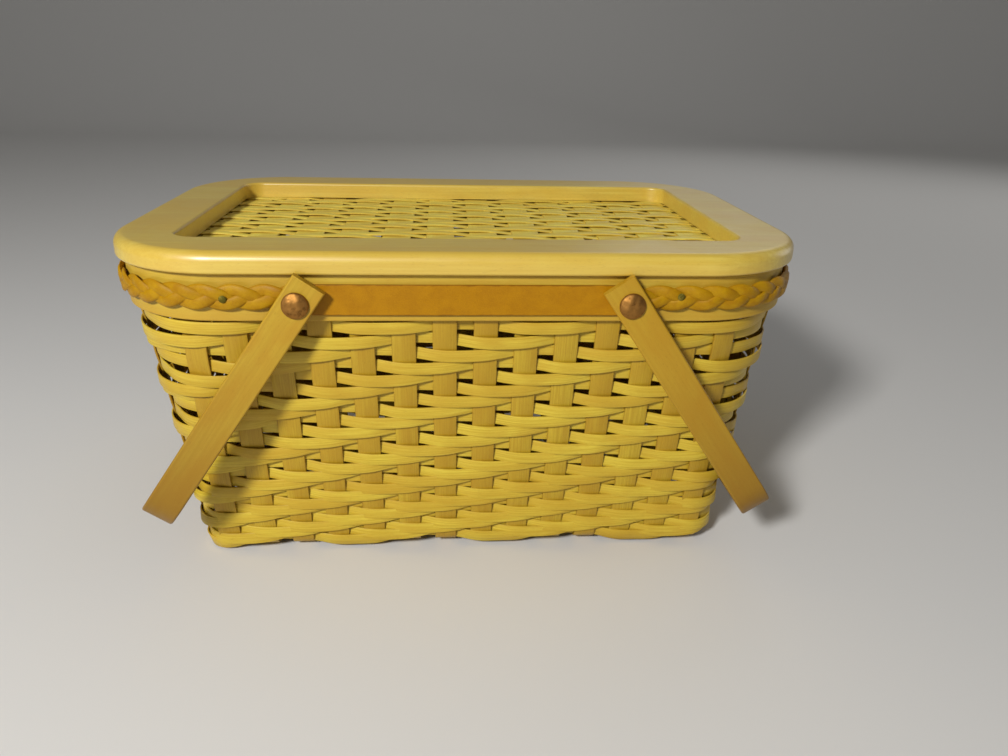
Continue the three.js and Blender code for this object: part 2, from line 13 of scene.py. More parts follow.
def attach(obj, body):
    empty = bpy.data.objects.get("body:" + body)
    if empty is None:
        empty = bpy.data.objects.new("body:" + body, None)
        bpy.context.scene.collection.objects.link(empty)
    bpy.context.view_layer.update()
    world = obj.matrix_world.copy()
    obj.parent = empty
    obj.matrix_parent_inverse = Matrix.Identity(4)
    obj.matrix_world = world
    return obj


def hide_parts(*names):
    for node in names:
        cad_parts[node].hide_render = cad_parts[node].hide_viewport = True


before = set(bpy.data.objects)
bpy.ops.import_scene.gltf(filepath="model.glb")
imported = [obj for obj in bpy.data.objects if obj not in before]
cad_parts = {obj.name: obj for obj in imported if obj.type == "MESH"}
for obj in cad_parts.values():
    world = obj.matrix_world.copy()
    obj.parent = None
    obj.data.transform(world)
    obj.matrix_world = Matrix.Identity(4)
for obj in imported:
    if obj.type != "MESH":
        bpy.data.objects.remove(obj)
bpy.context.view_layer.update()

log = logging.getLogger("basket")

MM = 0.001
QUARTER = math.pi / 2
MERGE = 0.002 * MM
Array = np.ndarray
Bend = Callable[[Array, Array, Array], Array]
Color = tuple[int, int, int]
Point = tuple[float, float, float]
BMesh = bmesh.types.BMesh
Mesh = bpy.types.Mesh
Socket = bpy.types.NodeSocket


# Lines and sizes that pieces follow


@dataclass(frozen=True)
class RoundedRectangle:
    """A level line round the basket, followed from the middle of the front towards the right."""

    half_x: float
    half_y: float
    radius: float

    @property
    def straight_x(self) -> float:
        """Half the straight part of the front."""
        return self.half_x - self.radius

    @property
    def straight_y(self) -> float:
        """Half the straight part of an end."""
        return self.half_y - self.radius

    @property
    def length(self) -> float:
        """The whole way round."""
        return 4 * (self.straight_x + self.straight_y) + math.tau * self.radius

    def at(self, run: Array) -> tuple[Array, Array]:
        """Points and outward directions at distances along the line.

        Args:
            run: Distances from the middle of the front; any number of rounds.

        Returns:
            The points and the unit directions, each as rows of x and y.
        """
        a, b, corner = self.straight_x, self.straight_y, QUARTER * self.radius
        knots = np.cumsum([0, a, corner, 2 * b, corner, 2 * a, corner, 2 * b, corner, a])
        return self.at_station(np.interp(np.mod(run, self.length), knots, np.arange(10)))

    def at_station(self, station: Array) -> tuple[Array, Array]:
        """Points and outward directions at places that lines of any size share.

        Args:
            station: Whole numbers where a straight or a corner begins, and parts of them between.

        Returns:
            The points and the unit directions, each as rows of x and y.
        """
        a, b, knots = self.straight_x, self.straight_y, np.arange(10)
        turn = np.interp(station, knots, np.array([-1, -1, 0, 0, 1, 1, 2, 2, 3, 3]) * QUARTER)
        centre_x = np.interp(station, knots, [0, a, a, a, a, -a, -a, -a, -a, 0])
        centre_y = np.interp(station, knots, [-b, -b, -b, b, b, b, b, -b, -b, -b])
        out = np.stack([np.cos(turn), np.sin(turn)], axis=-1)
        return np.stack([centre_x, centre_y], axis=-1) + self.radius * out, out


@dataclass(frozen=True)
class BasketShape:
    """Sizes that several pieces share, in metres."""

    splint_thickness: float = 1.0 * MM
    stake_width: float = 12 * MM
    stake_pitch: float = 20.3 * MM
    cross_count: int = 14
    long_count: int = 8
    row_count: int = 26
    end_margin: float = 7.8 * MM
    side_margin: float = 10.4 * MM
    base_fold: float = 7 * MM
    base_corner_radius: float = 12 * MM
    wall_bow: float = 0.8 * MM
    rim_flare: float = 24.5 * MM
    wall_height: float = 147.9 * MM
    weave_gap: float = 0.35 * MM
    fit_gap: float = 0.3 * MM
    rim_height: float = 22.0 * MM
    rim_thickness: float = 2.6 * MM
    rim_corner_radius: float = 54 * MM
    outer_rim_standoff: float = 1.15 * MM
    lid_overhang: float = 7.8 * MM
    lid_side_gap: float = 0.5 * MM
    handle_thickness: float = 4 * MM
    rivet_above_rim_foot: float = 9.3 * MM
    rivet_shank_radius: float = 1.75 * MM
    strap_past_rivet: float = 3.5 * MM

    @property
    def weave_offset(self) -> float:
        """From a splint's middle to the middle of a weaver that passes it."""
        return self.splint_thickness + self.weave_gap

    @property
    def base_level(self) -> float:
        """Height of the middle of the base splints."""
        return self.weave_offset + self.splint_thickness / 2

    @property
    def rim_half_x(self) -> float:
        """Half the length of the line of the splints' middles at the rim."""
        outermost = (self.cross_count - 1) / 2 * self.stake_pitch
        return outermost + self.stake_width / 2 + self.end_margin + self.rim_flare

    @property
    def rim_half_y(self) -> float:
        """Half the depth of the line of the splints' middles at the rim."""
        outermost = (self.long_count - 1) / 2 * self.stake_pitch
        return outermost + self.stake_width / 2 + self.side_margin + self.rim_flare

    @property
    def rim_top(self) -> float:
        """Height of the rim bands' upper edge."""
        return self.wall_height + self.rim_height

    @property
    def leather_back(self) -> float:
        """From the rim line to the back of the leather."""
        return self.outer_rim_standoff + self.rim_thickness + self.fit_gap

    @property
    def arm_inner_face(self) -> float:
        """From the middle plane to the inner face of a handle's arm."""
        return self.rim_half_y + self.lid_overhang + self.lid_side_gap

    @property
    def rivet_x(self) -> float:
        """From the middle plane to a rivet, just outside the fourth cross splint."""
        splint = (self.cross_count - 1) / 2 * self.stake_pitch - 3 * self.stake_pitch
        return splint + self.stake_width / 2 + self.rivet_shank_radius + self.fit_gap * 1.5

    @property
    def rivet_z(self) -> float:
        """Height of the rivets, about which the handles swing."""
        return self.wall_height + self.rivet_above_rim_foot

    def rim_line(self, out: float) -> RoundedRectangle:
        """The line of the splints' middles at the rim, moved outwards."""
        return RoundedRectangle(self.rim_half_x + out, self.rim_half_y + out, self.rim_corner_radius + out)


def leaning_curve(start: Vector, pull: Vector, end: Vector, steps: int = 120) -> list[Vector]:
    """Points on a curve from start to end that leans towards pull.

    Args:
        start: First point.
        pull: The point that the curve leans towards.
        end: Last point.
        steps: How many pieces the curve has.

    Returns:
        The points.
    """
    parts = [i / steps for i in range(steps + 1)]
    return [start.lerp(pull, t).lerp(pull.lerp(end, t), t) for t in parts]


class WallProfile:
    """The wall's side view: how far a splint's middle lies inside the rim line, and its height."""

    def __init__(self, shape: BasketShape) -> None:
        """Bends the fold and the slightly hollow wall.

        Args:
            shape: The basket's sizes.
        """
        base_edge = Vector((shape.rim_flare, shape.base_level))
        rim_foot = Vector((0, shape.wall_height))
        rise = (rim_foot - base_edge).normalized()
        inward = Vector((rise.y, -rise.x))
        hollow = (base_edge + rim_foot) / 2 + inward * 2 * shape.wall_bow
        foot = base_edge.lerp(hollow, shape.base_fold / (hollow - base_edge).length)
        start = Vector((shape.rim_flare + shape.base_fold, shape.base_level))
        fold = leaning_curve(start, base_edge, foot)
        wall = leaning_curve(foot, hollow, rim_foot)
        top = [Vector((0, shape.rim_top - shape.fit_gap))]
        self.points = np.array([tuple(p) for p in fold + wall[1:] + top])
        steps = np.hypot(*np.diff(self.points, axis=0).T)
        self.run = np.concatenate([[0], np.cumsum(steps)])
        self.wall_top = self.run[len(fold) + len(wall) - 2]
        self.length = self.run[-1]

    def level(self, length: Array, offset: Array | float = 0.0) -> tuple[Array, Array]:
        """Inset and height at a length up the wall, moved outwards by an offset.

        Args:
            length: Lengths from the base's fold.
            offset: How far outside the splint's middle.

        Returns:
            The insets and the heights.
        """
        def at(run: Array) -> Array:
            """Points of the side view."""
            return np.stack([np.interp(run, self.run, column) for column in self.points.T], axis=-1)

        step, least = 0.2 * MM, 1e-12
        point = at(length)
        rise = at(length + step) - at(length - step)
        rise = rise / np.maximum(np.linalg.norm(rise, axis=-1, keepdims=True), least)
        return point[..., 0] - rise[..., 1] * offset, point[..., 1] + rise[..., 0] * offset


class Wall(Enum):
    """The four walls in order round the basket, as quarter turns from the front."""

    FRONT = 0
    RIGHT = 1
    BACK = 2
    LEFT = 3

    @property
    def long_side(self) -> bool:
        """Whether the wall is the front or the back."""
        return self.value % 2 == 0

    def turned(self, x: Array, y: Array) -> Array:
        """Turns directions or points, given as seen from this wall, into the basket's own frame.

        Args:
            x: To the right.
            y: Inwards.

        Returns:
            Rows of x and y.
        """
        for _ in range(self.value):
            x, y = -y, x
        return np.stack([x, y], axis=-1)


@dataclass(frozen=True)
class TwillWave:
    """How one weaver weaves in and out in a twill over two and under two.

    Each weaver bows outwards and downwards over its two splints, lowest before the middle of the
    bow, and the wave is one splint back on each row down. Every bow differs a little from the next,
    and there are as many bows as pairs of splints round the basket.
    """

    reach: float = 2.1 * MM
    sag: float = 1.25 * MM
    slant: float = 0.38
    flatness: float = 0.15
    unevenness: float = 0.11
    sag_unevenness: float = 1.6
    stake_give: float = 0.3 * MM
    seed: int = 500
    draws: int = 64
    bows: int = 22

    def at(self, place: Array, row: int) -> tuple[Array, Array]:
        """Outward and downward moves at places counted in splints.

        Args:
            place: Splint numbers along the weaver; whole numbers are splints' middles.
            row: The weaver's number from the top.

        Returns:
            The outward and the downward moves.
        """
        phase = QUARTER * (place + row - 0.5)
        varied = np.random.default_rng(self.seed + row).normal(0.0, self.unevenness, (2, self.draws))
        bow = np.floor((place + row + 0.5) / 2).astype(int) % self.bows
        wave = np.cos(phase) - self.flatness * np.cos(3 * phase)
        out = self.reach * wave * (1 + varied[0][bow])
        down = self.sag * np.cos(phase + self.slant) * (1 + self.sag_unevenness * varied[1][bow])
        return out, down

    def stake(self, place: int, row: Array) -> Array:
        """How far a splint gives way outwards beside weavers at rows, whole at their middles."""
        return -self.stake_give * np.cos(QUARTER * (place + row - 0.5))


@dataclass
class WovenWalls:
    """The lines that the weavers and the splints follow.

    A weaver's face leans out, lower edge outwards, by lean in the height of a row. Its bows reach
    further out round the corners, except near the foot, and less where a hanging grip presses.
    """

    shape: BasketShape
    wave: TwillWave = TwillWave()
    weave_below_rim: float = 1.7 * MM
    weave_foot: float = 8.5 * MM
    row_crowding: float = 0.41
    lean: float = 0.85 * MM
    corner_swell: float = 0.8
    corner_tuck: float = 0.6
    foot_rows: int = 8
    grip_press: float = 0.7 * MM
    grip_row: float = 17.5
    grip_rows: float = 3.0
    grip_falloff: int = 8
    base_arch: float = 1.6 * MM
    arch_height: float = 60 * MM

    def __post_init__(self) -> None:
        """Works out the rows of weaving."""
        self.profile = WallProfile(self.shape)
        self.weave_top = self.profile.wall_top - self.weave_below_rim
        self.mean_row = (self.weave_top - self.weave_foot) / self.shape.row_count

    def count(self, wall: Wall) -> int:
        """How many splints a wall has."""
        return self.shape.cross_count if wall.long_side else self.shape.long_count

    def along(self, wall: Wall, index: int) -> float:
        """Where a splint stands along its wall."""
        return (index - (self.count(wall) - 1) / 2) * self.shape.stake_pitch

    def corner_radius(self, inset: Array, height: Array) -> Array:
        """Radius of the corners, which open out from the base to the rim.

        Args:
            inset: How far the wall lies inside the rim line.
            height: Height above the ground.

        Returns:
            The radii.
        """
        shape = self.shape
        up = np.clip((height - shape.base_level) / (shape.wall_height - shape.base_level), 0, 1)
        folded = np.maximum(0, inset - shape.rim_flare)
        return shape.base_corner_radius + up * (shape.rim_corner_radius - shape.base_corner_radius) - folded

    def row_line(self, row: int) -> RoundedRectangle:
        """The line that a row of weaving follows round the basket.

        Args:
            row: The row, from the top.

        Returns:
            The line.
        """
        inset, height = self.profile.level(self.row_middle(row))
        half_x, half_y = self.shape.rim_half_x - float(inset), self.shape.rim_half_y - float(inset)
        return RoundedRectangle(half_x, half_y, float(self.corner_radius(inset, height)))

    def row_edge(self, row: int | Array) -> float | Array:
        """Length up the wall of a row's upper edge. The rows lie closer towards the foot."""
        crowded = 1 + self.row_crowding * (1 - row / self.shape.row_count)
        return self.weave_top - self.mean_row * row * crowded

    def row_middle(self, row: int) -> float:
        """Length up the wall of a row's middle."""
        return (self.row_edge(row) + self.row_edge(row + 1)) / 2

    def row_at(self, length: Array) -> Array:
        """Rows from the top at lengths up the wall, with whole numbers at weavers' middles."""
        rows = np.arange(-2, self.shape.row_count + 3)
        return np.interp(-length, -self.row_edge(rows), rows) - 0.5

    def splint_runs(self, line: RoundedRectangle) -> Array:
        """Where a line round the basket passes the splints.

        Args:
            line: The line.

        Returns:
            Distances along the line, from the front left splint on.
        """
        runs = []
        quarter_round = line.straight_x + line.straight_y + QUARTER * line.radius
        for wall in Wall:
            straight = line.straight_x if wall.long_side else line.straight_y
            for index in range(self.count(wall)):
                along = self.along(wall, index)
                past = max(0.0, abs(along) - straight)
                turned = line.radius * math.asin(min(1.0, past / line.radius))
                from_middle = math.copysign(min(abs(along), straight) + turned, along)
                runs.append(wall.value * quarter_round + from_middle)
        return np.array(runs)

    def weaver(self, row: int) -> Bend:
        """How one weaver bends round the four walls.

        Args:
            row: The row, from the top.

        Returns:
            The bend of its flat strip, which starts in the middle of the back.
        """
        line = self.row_line(row)
        runs = self.splint_runs(line)
        places = np.arange(-1, len(runs) + 1)
        knots = np.concatenate([[runs[-1] - line.length], runs, [runs[0] + line.length]])
        middle = self.row_middle(row)
        tilt = self.lean / (self.row_edge(row) - self.row_edge(row + 1))
        inset = float(self.profile.level(middle)[0])
        under_grip = math.exp(-(((row - self.grip_row) / self.grip_rows) ** 2))
        above_foot = min(1.0, (self.shape.row_count - 1 - row) / self.foot_rows)

        def bend(along: Array, across: Array, off: Array) -> Array:
            """Weaves the strip past the splints, which the top row follows with less sag."""
            run = np.mod(along + line.length / 2 - runs[0], line.length) + runs[0]
            out, down = self.wave.at(np.interp(run, knots, places), row)
            if row == 0:
                down = (down - self.wave.sag) / 3
            point, outward = line.at(run)
            at_corner = above_foot * (2 * outward[:, 0] * outward[:, 1]) ** 2
            at_end = np.abs(outward[:, 0]) ** self.grip_falloff
            out = out * (1 + np.where(out > 0, self.corner_swell, -self.corner_tuck) * at_corner)
            out = out - np.sign(out) * np.minimum(np.abs(out) / 3, self.grip_press * under_grip * at_end)
            corner, height = self.profile.level(middle - down + across, out + off - tilt * across)
            flat = point + outward * (inset - corner)[:, None]
            return self.arched(np.column_stack([flat, height]))

        return bend

    def arched(self, points: Array) -> Array:
        """Lifts the middle of the base a little, so that the basket stands on its ends.

        Args:
            points: Points of a level basket.

        Returns:
            The lifted points.
        """
        half = self.shape.rim_half_x - self.shape.rim_flare
        spread = np.maximum(0, 1 - (points[:, 0] / half) ** 2)
        fade = np.clip(1 - points[:, 2] / self.arch_height, 0, 1)
        return points + np.outer(self.base_arch * spread * fade, (0, 0, 1))

    def up_wall(self, wall: Wall, along: float, length: Array, across: Array, offset: Array) -> Array:
        """Points of a splint that stands in a wall.

        Args:
            wall: The wall.
            along: Where the splint stands along it.
            length: Lengths up the wall.
            across: Distances across the splint.
            offset: Distances outwards from the wall's middle.

        Returns:
            The points.
        """
        inset, height = self.profile.level(length)
        radius = self.corner_radius(inset, height)
        half_x, half_y = self.shape.rim_half_x - inset, self.shape.rim_half_y - inset
        reach, half = (half_y, half_x) if wall.long_side else (half_x, half_y)
        past = np.maximum(0, abs(along) - (half - radius))
        turn = math.copysign(1, along) * np.arcsin(np.minimum(1, past / radius))
        middle = wall.turned(np.full_like(reach, along), radius * (1 - np.cos(turn)) - reach)
        out = wall.turned(np.sin(turn), -np.cos(turn))
        side = np.stack([-out[:, 1], out[:, 0]], axis=-1)
        corner, height = self.profile.level(length, offset)
        flat = middle + side * across[:, None] + out * (inset - corner)[:, None]
        return np.column_stack([flat, height])

    def splint(self, wall: Wall, index: int) -> tuple[float, Bend]:
        """How one splint bends from a wall through the base to the wall opposite.

        Args:
            wall: FRONT for a cross splint, RIGHT for a long one.
            index: The splint's number.

        Returns:
            Its flat length, and its bend.
        """
        shape = self.shape
        opposite = Wall((wall.value + 2) % 4)
        along = self.along(wall, index)
        half = shape.rim_half_y if wall.long_side else shape.rim_half_x
        flat = half - shape.rim_flare - shape.base_fold
        climb = self.profile.length
        before = sum(self.count(w) for w in Wall if w.value < wall.value)
        half_round = shape.cross_count + shape.long_count
        near_place = before + index
        far_place = before + half_round + self.count(wall) - 1 - index

        def base_offset(across_base: Array) -> Array:
            """How far a cross splint weaves down through the long ones, which stay level."""
            if wall.long_side:
                return np.zeros_like(across_base)
            crossing = across_base / shape.stake_pitch + (shape.cross_count - 1) / 2
            return shape.weave_offset * level_twill(crossing, index)

        def wall_offset(place: int, length: Array, end: float) -> Array:
            """How far the splint gives way in a wall, and on from its offset at the base's end."""
            row = self.row_at(length)
            above_foot = np.clip((length - self.weave_foot) / self.mean_row, 0, 1)
            fold = base_offset(np.array([end])) * np.maximum(0, 1 - length / self.weave_foot)
            return self.wave.stake(place, row) * (np.clip(row + 1, 0, 1) * above_foot) + fold

        def bend(run: Array, across: Array, off: Array) -> Array:
            """Bends the strip down the near wall, along the base and up the far wall."""
            near_length = np.clip(climb - run, 0, climb)
            far_length = np.clip(run - climb - 2 * flat, 0, climb)
            in_base = np.clip(run - climb - flat, -flat, flat)
            near_offset = wall_offset(near_place, near_length, -flat) + off
            near = self.up_wall(wall, along, near_length, across, near_offset)
            far_offset = wall_offset(far_place, far_length, flat) + off
            far = self.up_wall(opposite, -along, far_length, -across, far_offset)
            level = wall.turned(along + across, in_base)
            base = np.column_stack([level, shape.base_level - base_offset(in_base) - off])
            points = np.where((run < climb)[:, None], near, base)
            return self.arched(np.where((run > climb + 2 * flat)[:, None], far, points))

        return 2 * (climb + flat), bend


def level_twill(crossing: Array, index: int, wide: float = 0.32) -> Array:
    """A strip's rise or fall where the weave is pressed flat.

    Args:
        crossing: Places along the strip, with whole numbers at the crossings' middles.
        index: The strip's number.
        wide: Half the level part at a crossing, as a share of the pitch.

    Returns:
        1 where the strip lies outside the one it crosses, -1 where inside, and between on the way.
    """
    def side(place: Array) -> Array:
        """1 or -1 at a crossing, in a twill over two and under two."""
        return np.where(np.mod(place + index, 4) < 2, 1.0, -1.0)

    whole = np.floor(crossing)
    part = np.clip((crossing - whole - wide) / (1 - 2 * wide), 0, 1)
    part = part * part * (3 - 2 * part)
    return side(whole) * (1 - part) + side(whole + 1) * part


# Finishes


def shade(red: int, green: int, blue: int) -> Point:
    """A linear colour from the display values that it should have in plain light.

    Args:
        red: From 0 to 255.
        green: From 0 to 255.
        blue: From 0 to 255.

    Returns:
        The linear values, from 0 to 1.
    """
    def channel(value: int) -> float:
        """One display value, made linear."""
        part = value / 255
        return part / 12.92 if part <= 0.04045 else ((part + 0.055) / 1.055) ** 2.4

    return channel(red), channel(green), channel(blue)


class NodeTree:
    """Adds and joins the nodes of a material or of a node group."""

    def __init__(self, tree: bpy.types.NodeTree) -> None:
        """Starts on an empty tree."""
        self.tree = tree
        tree.nodes.clear()

    def add(self, kind: str, inputs: dict | None = None, **settings: object) -> bpy.types.Node:
        """Adds a node.

        Args:
            kind: The node's type.
            inputs: Values or output sockets for its inputs, by name or number; colours are
                display values from 0 to 255.
            settings: The node's own settings.

        Returns:
            The node.
        """
        node = self.tree.nodes.new(kind)
        for name, value in settings.items():
            setattr(node, name, value)
        for name, value in (inputs or {}).items():
            socket = node.inputs[name]
            if isinstance(value, Socket):
                self.tree.links.new(value, socket)
            elif socket.type == "RGBA":
                socket.default_value = (*shade(*value), 1.0)
            else:
                socket.default_value = value
        return node

    def mix(self, share: Socket, first: Socket | Color, second: Socket | Color) -> Socket:
        """Mixes two colours, by how much there is of the second."""
        inputs = {0: share, 6: first, 7: second}
        return self.add("ShaderNodeMix", inputs, data_type="RGBA", clamp_factor=True).outputs[2]

    def math(self, operation: str, first: Socket | float, second: Socket | float = 0.0) -> Socket:
        """Adds a sum on one or two numbers."""
        return self.add("ShaderNodeMath", {0: first, 1: second}, operation=operation).outputs[0]

    def spread(self, value: Socket, low: float, high: float, to_low: float = 0.0,
               to_high: float = 1.0) -> Socket:
        """Stretches a range of numbers smoothly onto another."""
        inputs = {"Value": value, "From Min": low, "From Max": high, "To Min": to_low, "To Max": to_high}
        return self.add("ShaderNodeMapRange", inputs, interpolation_type="SMOOTHSTEP").outputs["Result"]

    def noise(self, place: Socket, scale: float, detail: float, roughness: float = 0.5,
              distortion: float = 0.0) -> Socket:
        """Adds a cloudy noise.

        Args:
            place: Where it is read.
            scale: How fine it is.
            detail: How many finer layers it has.
            roughness: How strong they are.
            distortion: How far it is pulled about.

        Returns:
            The noise, from 0 to 1.
        """
        inputs = {"Vector": place, "Scale": scale, "Detail": detail, "Roughness": roughness}
        return self.add("ShaderNodeTexNoise", inputs | {"Distortion": distortion}).outputs["Fac"]

    def stretched(self, place: Socket, by: Socket | Point) -> Socket:
        """Multiplies each axis of a place."""
        return self.add("ShaderNodeVectorMath", {0: place, 1: by}, operation="MULTIPLY").outputs[0]

    def bump(self, height: Socket, strength: float, distance: float) -> Socket:
        """Adds a fine relief."""
        inputs = {"Strength": strength, "Distance": distance, "Height": height}
        return self.add("ShaderNodeBump", inputs).outputs[0]

    def attribute(self, name: str) -> Socket:
        """Reads a number that the mesh holds at each point."""
        return self.add("ShaderNodeAttribute", attribute_name=name).outputs["Fac"]


class Effect:
    """A node group that several finishes share, built once. It reads a place and some numbers."""

    name = ""
    numbers: tuple[str, ...] = ()

    def fill(self, tree: NodeTree, start: dict[str, Socket]) -> dict[str, Socket]:
        """Adds the group's nodes and returns its outputs, all numbers. Each effect has its own."""
        raise NotImplementedError

    def placed(self, tree: NodeTree, inputs: dict[str, object]) -> dict[str, Socket]:
        """Places the effect in a material.

        Args:
            tree: The material's nodes.
            inputs: Values or sockets for the effect's inputs.

        Returns:
            The effect's outputs.
        """
        group = bpy.data.node_groups.get(self.name)
        if group is None:
            group = bpy.data.node_groups.new(self.name, "ShaderNodeTree")
            inside = NodeTree(group)
            group.interface.new_socket("Place", in_out="INPUT", socket_type="NodeSocketVector")
            for label in self.numbers:
                group.interface.new_socket(label, in_out="INPUT", socket_type="NodeSocketFloat")
            results = self.fill(inside, inside.add("NodeGroupInput").outputs)
            for label in results:
                group.interface.new_socket(label, in_out="OUTPUT", socket_type="NodeSocketFloat")
            inside.add("NodeGroupOutput", results)
        return tree.add("ShaderNodeGroup", inputs, node_tree=group).outputs


class MapleGrain(Effect):
    """Streaks, broad tone, short flecks and the tone of a whole board, with X along the grain."""

    name = "Maple grain"
    numbers = ("Along", "Across")

    def fill(self, tree: NodeTree, start: dict[str, Socket]) -> dict[str, Socket]:
        """Stretches a noise along the grain for each.

        Args:
            tree: The group's nodes.
            start: The group's inputs.

        Returns:
            The group's outputs.
        """
        place = start["Place"]
        across = start["Across"]
        stretch = tree.add("ShaderNodeCombineXYZ", {"X": start["Along"], "Y": across, "Z": across})
        streak = tree.noise(tree.stretched(place, stretch.outputs[0]), 1.0, 5.0, 0.62, distortion=0.1)
        tone = tree.noise(tree.stretched(place, (34.0, 90.0, 90.0)), 1.0, 3.0, 0.55, distortion=0.4)
        fleck = tree.noise(tree.stretched(place, (420.0, 2600.0, 2600.0)), 1.0, 1.0)
        board = tree.noise(tree.stretched(place, (2.5, 33.0, 33.0)), 1.0, 1.0)
        return {"Streak": tree.spread(streak, 0.3, 0.7), "Tone": tree.spread(tone, 0.3, 0.7),
                "Fleck": tree.spread(fleck, 0.6, 0.78), "Board": tree.spread(board, 0.42, 0.6)}


class WornAndShadedEdges(Effect):
    """A darker band along both edges of a strip, broken up as by use; partly wear, partly painted shade where
    strips meet.
    """

    name = "Worn and shaded edges"
    numbers = ("Across", "Band")

    def fill(self, tree: NodeTree, start: dict[str, Socket]) -> dict[str, Socket]:
        """Pushes the band's inner line in and out by a noise.

        Args:
            tree: The group's nodes.
            start: The group's inputs.

        Returns:
            The group's outputs.
        """
        patches = tree.noise(start["Place"], scale=160.0, detail=3.0, roughness=0.6)
        rough = tree.math("MULTIPLY", tree.math("SUBTRACT", patches, 0.5), 0.25)
        pushed = tree.math("ADD", tree.math("ABSOLUTE", start["Across"]), rough)
        inner = tree.math("SUBTRACT", 1.0, start["Band"])
        share = tree.math("DIVIDE", tree.math("SUBTRACT", pushed, inner), start["Band"])
        return {"Edge": tree.spread(share, 0.0, 1.0)}


class Handling(Effect):
    """Faint smudges and rubbed places of different sheen."""

    name = "Handling"

    def fill(self, tree: NodeTree, start: dict[str, Socket]) -> dict[str, Socket]:
        """Takes the smudges from one noise."""
        smudge = tree.noise(start["Place"], scale=38.0, detail=4.0, roughness=0.65, distortion=0.8)
        return {"Smudge": tree.spread(smudge, 0.35, 0.72)}


@dataclass(frozen=True)
class Finish:
    """What a surface looks like. Colours are display values from 0 to 255."""

    name: str

    def sockets(self, tree: NodeTree) -> dict[str, object]:
        """Adds the finish's nodes and returns what feeds the shader. Each finish has its own."""
        raise NotImplementedError

    def material(self) -> bpy.types.Material:
        """Builds the material once.

        Returns:
            The material.
        """
        material = bpy.data.materials.get(self.name)
        if material is None:
            material = bpy.data.materials.new(self.name)
            material.use_nodes = True
            tree = NodeTree(material.node_tree)
            shader = tree.add("ShaderNodeBsdfPrincipled", self.sockets(tree))
            tree.add("ShaderNodeOutputMaterial", {"Surface": shader.outputs[0]})
        return material

    @staticmethod
    def edge(tree: NodeTree, place: Socket, band: float, share: float) -> Socket:
        """How far a point belongs to the darker edge of its strip: partly wear, partly painted shade where
        strips meet.
        """
        inputs = {"Place": place, "Across": tree.attribute("across"), "Band": band}
        return tree.math("MULTIPLY", WornAndShadedEdges().placed(tree, inputs)["Edge"], share)

    @staticmethod
    def rubbed(tree: NodeTree, place: Socket, gloss: tuple[float, float]) -> Socket:
        """A roughness that changes between two values where hands have been."""
        return tree.spread(Handling().placed(tree, {"Place": place})["Smudge"], 0.0, 1.0, *gloss)


class GrainFrom(Enum):
    """What the grain of a wooden piece follows."""

    STRIP = "the flat strip that the piece was bent from"
    BOARD = "the board that the piece was sawn from, along the basket"


@dataclass(frozen=True)
class MapleFinish(Finish):
    """Varnished maple; a handle's arms grow darker towards the grip."""

    light: Color
    dark: Color
    warm: Color
    # sawn: the colour of cut edges and flecks; also laid along strip edges as painted shade, and down a
    # handle's arms.
    sawn: Color
    grain: GrainFrom = GrainFrom.STRIP
    along: float = 30.0
    across: float = 1500.0
    warmth: float = 0.5
    board: float = 0.45
    flecks: float = 0.25
    gloss: tuple[float, float] = (0.42, 0.58)
    varnish: float = 0.05
    sheen: float = 0.35
    # How wide and how dark the edge band is: partly wear, partly painted shade where strips meet.
    band: float = 0.08
    edging: float = 0.3
    arm_darkening: float = 0.0

    def sockets(self, tree: NodeTree) -> dict[str, object]:
        """Lays the grain's tones, the darker edges (partly worn, partly painted shade) and the arms'
        darkening over each other.

        Args:
            tree: The material's nodes.

        Returns:
            What feeds the shader.
        """
        strip = self.grain is GrainFrom.STRIP
        if strip:
            place = tree.add("ShaderNodeUVMap", uv_map="Strip").outputs[0]
        else:
            place = tree.add("ShaderNodeTexCoord").outputs["Object"]
        grain = MapleGrain().placed(tree, {"Place": place, "Along": self.along, "Across": self.across})
        color = tree.mix(grain["Streak"], self.dark, self.light)
        color = tree.mix(tree.math("MULTIPLY", grain["Tone"], self.warmth), color, self.warm)
        color = tree.mix(tree.math("MULTIPLY", grain["Board"], self.board), color, self.warm)
        color = tree.mix(tree.math("MULTIPLY", grain["Fleck"], self.flecks), color, self.sawn)
        # Darker strip edges: partly sawn and worn, partly painted shade where strips meet.
        if strip:
            color = tree.mix(self.edge(tree, place, self.band, self.edging), color, self.sawn)
        # A handle's arms darken towards the grip, by how far down the arm each point is.
        if self.arm_darkening:
            down_arm = tree.math("MULTIPLY", tree.attribute("down_arm"), self.arm_darkening)
            color = tree.mix(down_arm, color, self.sawn)
        return {"Base Color": color, "Roughness": self.rubbed(tree, place, self.gloss),
                "Normal": tree.bump(grain["Streak"], strength=0.22, distance=0.12 * MM),
                "Coat Weight": self.varnish, "Coat Roughness": 0.3, "Specular IOR Level": self.sheen}


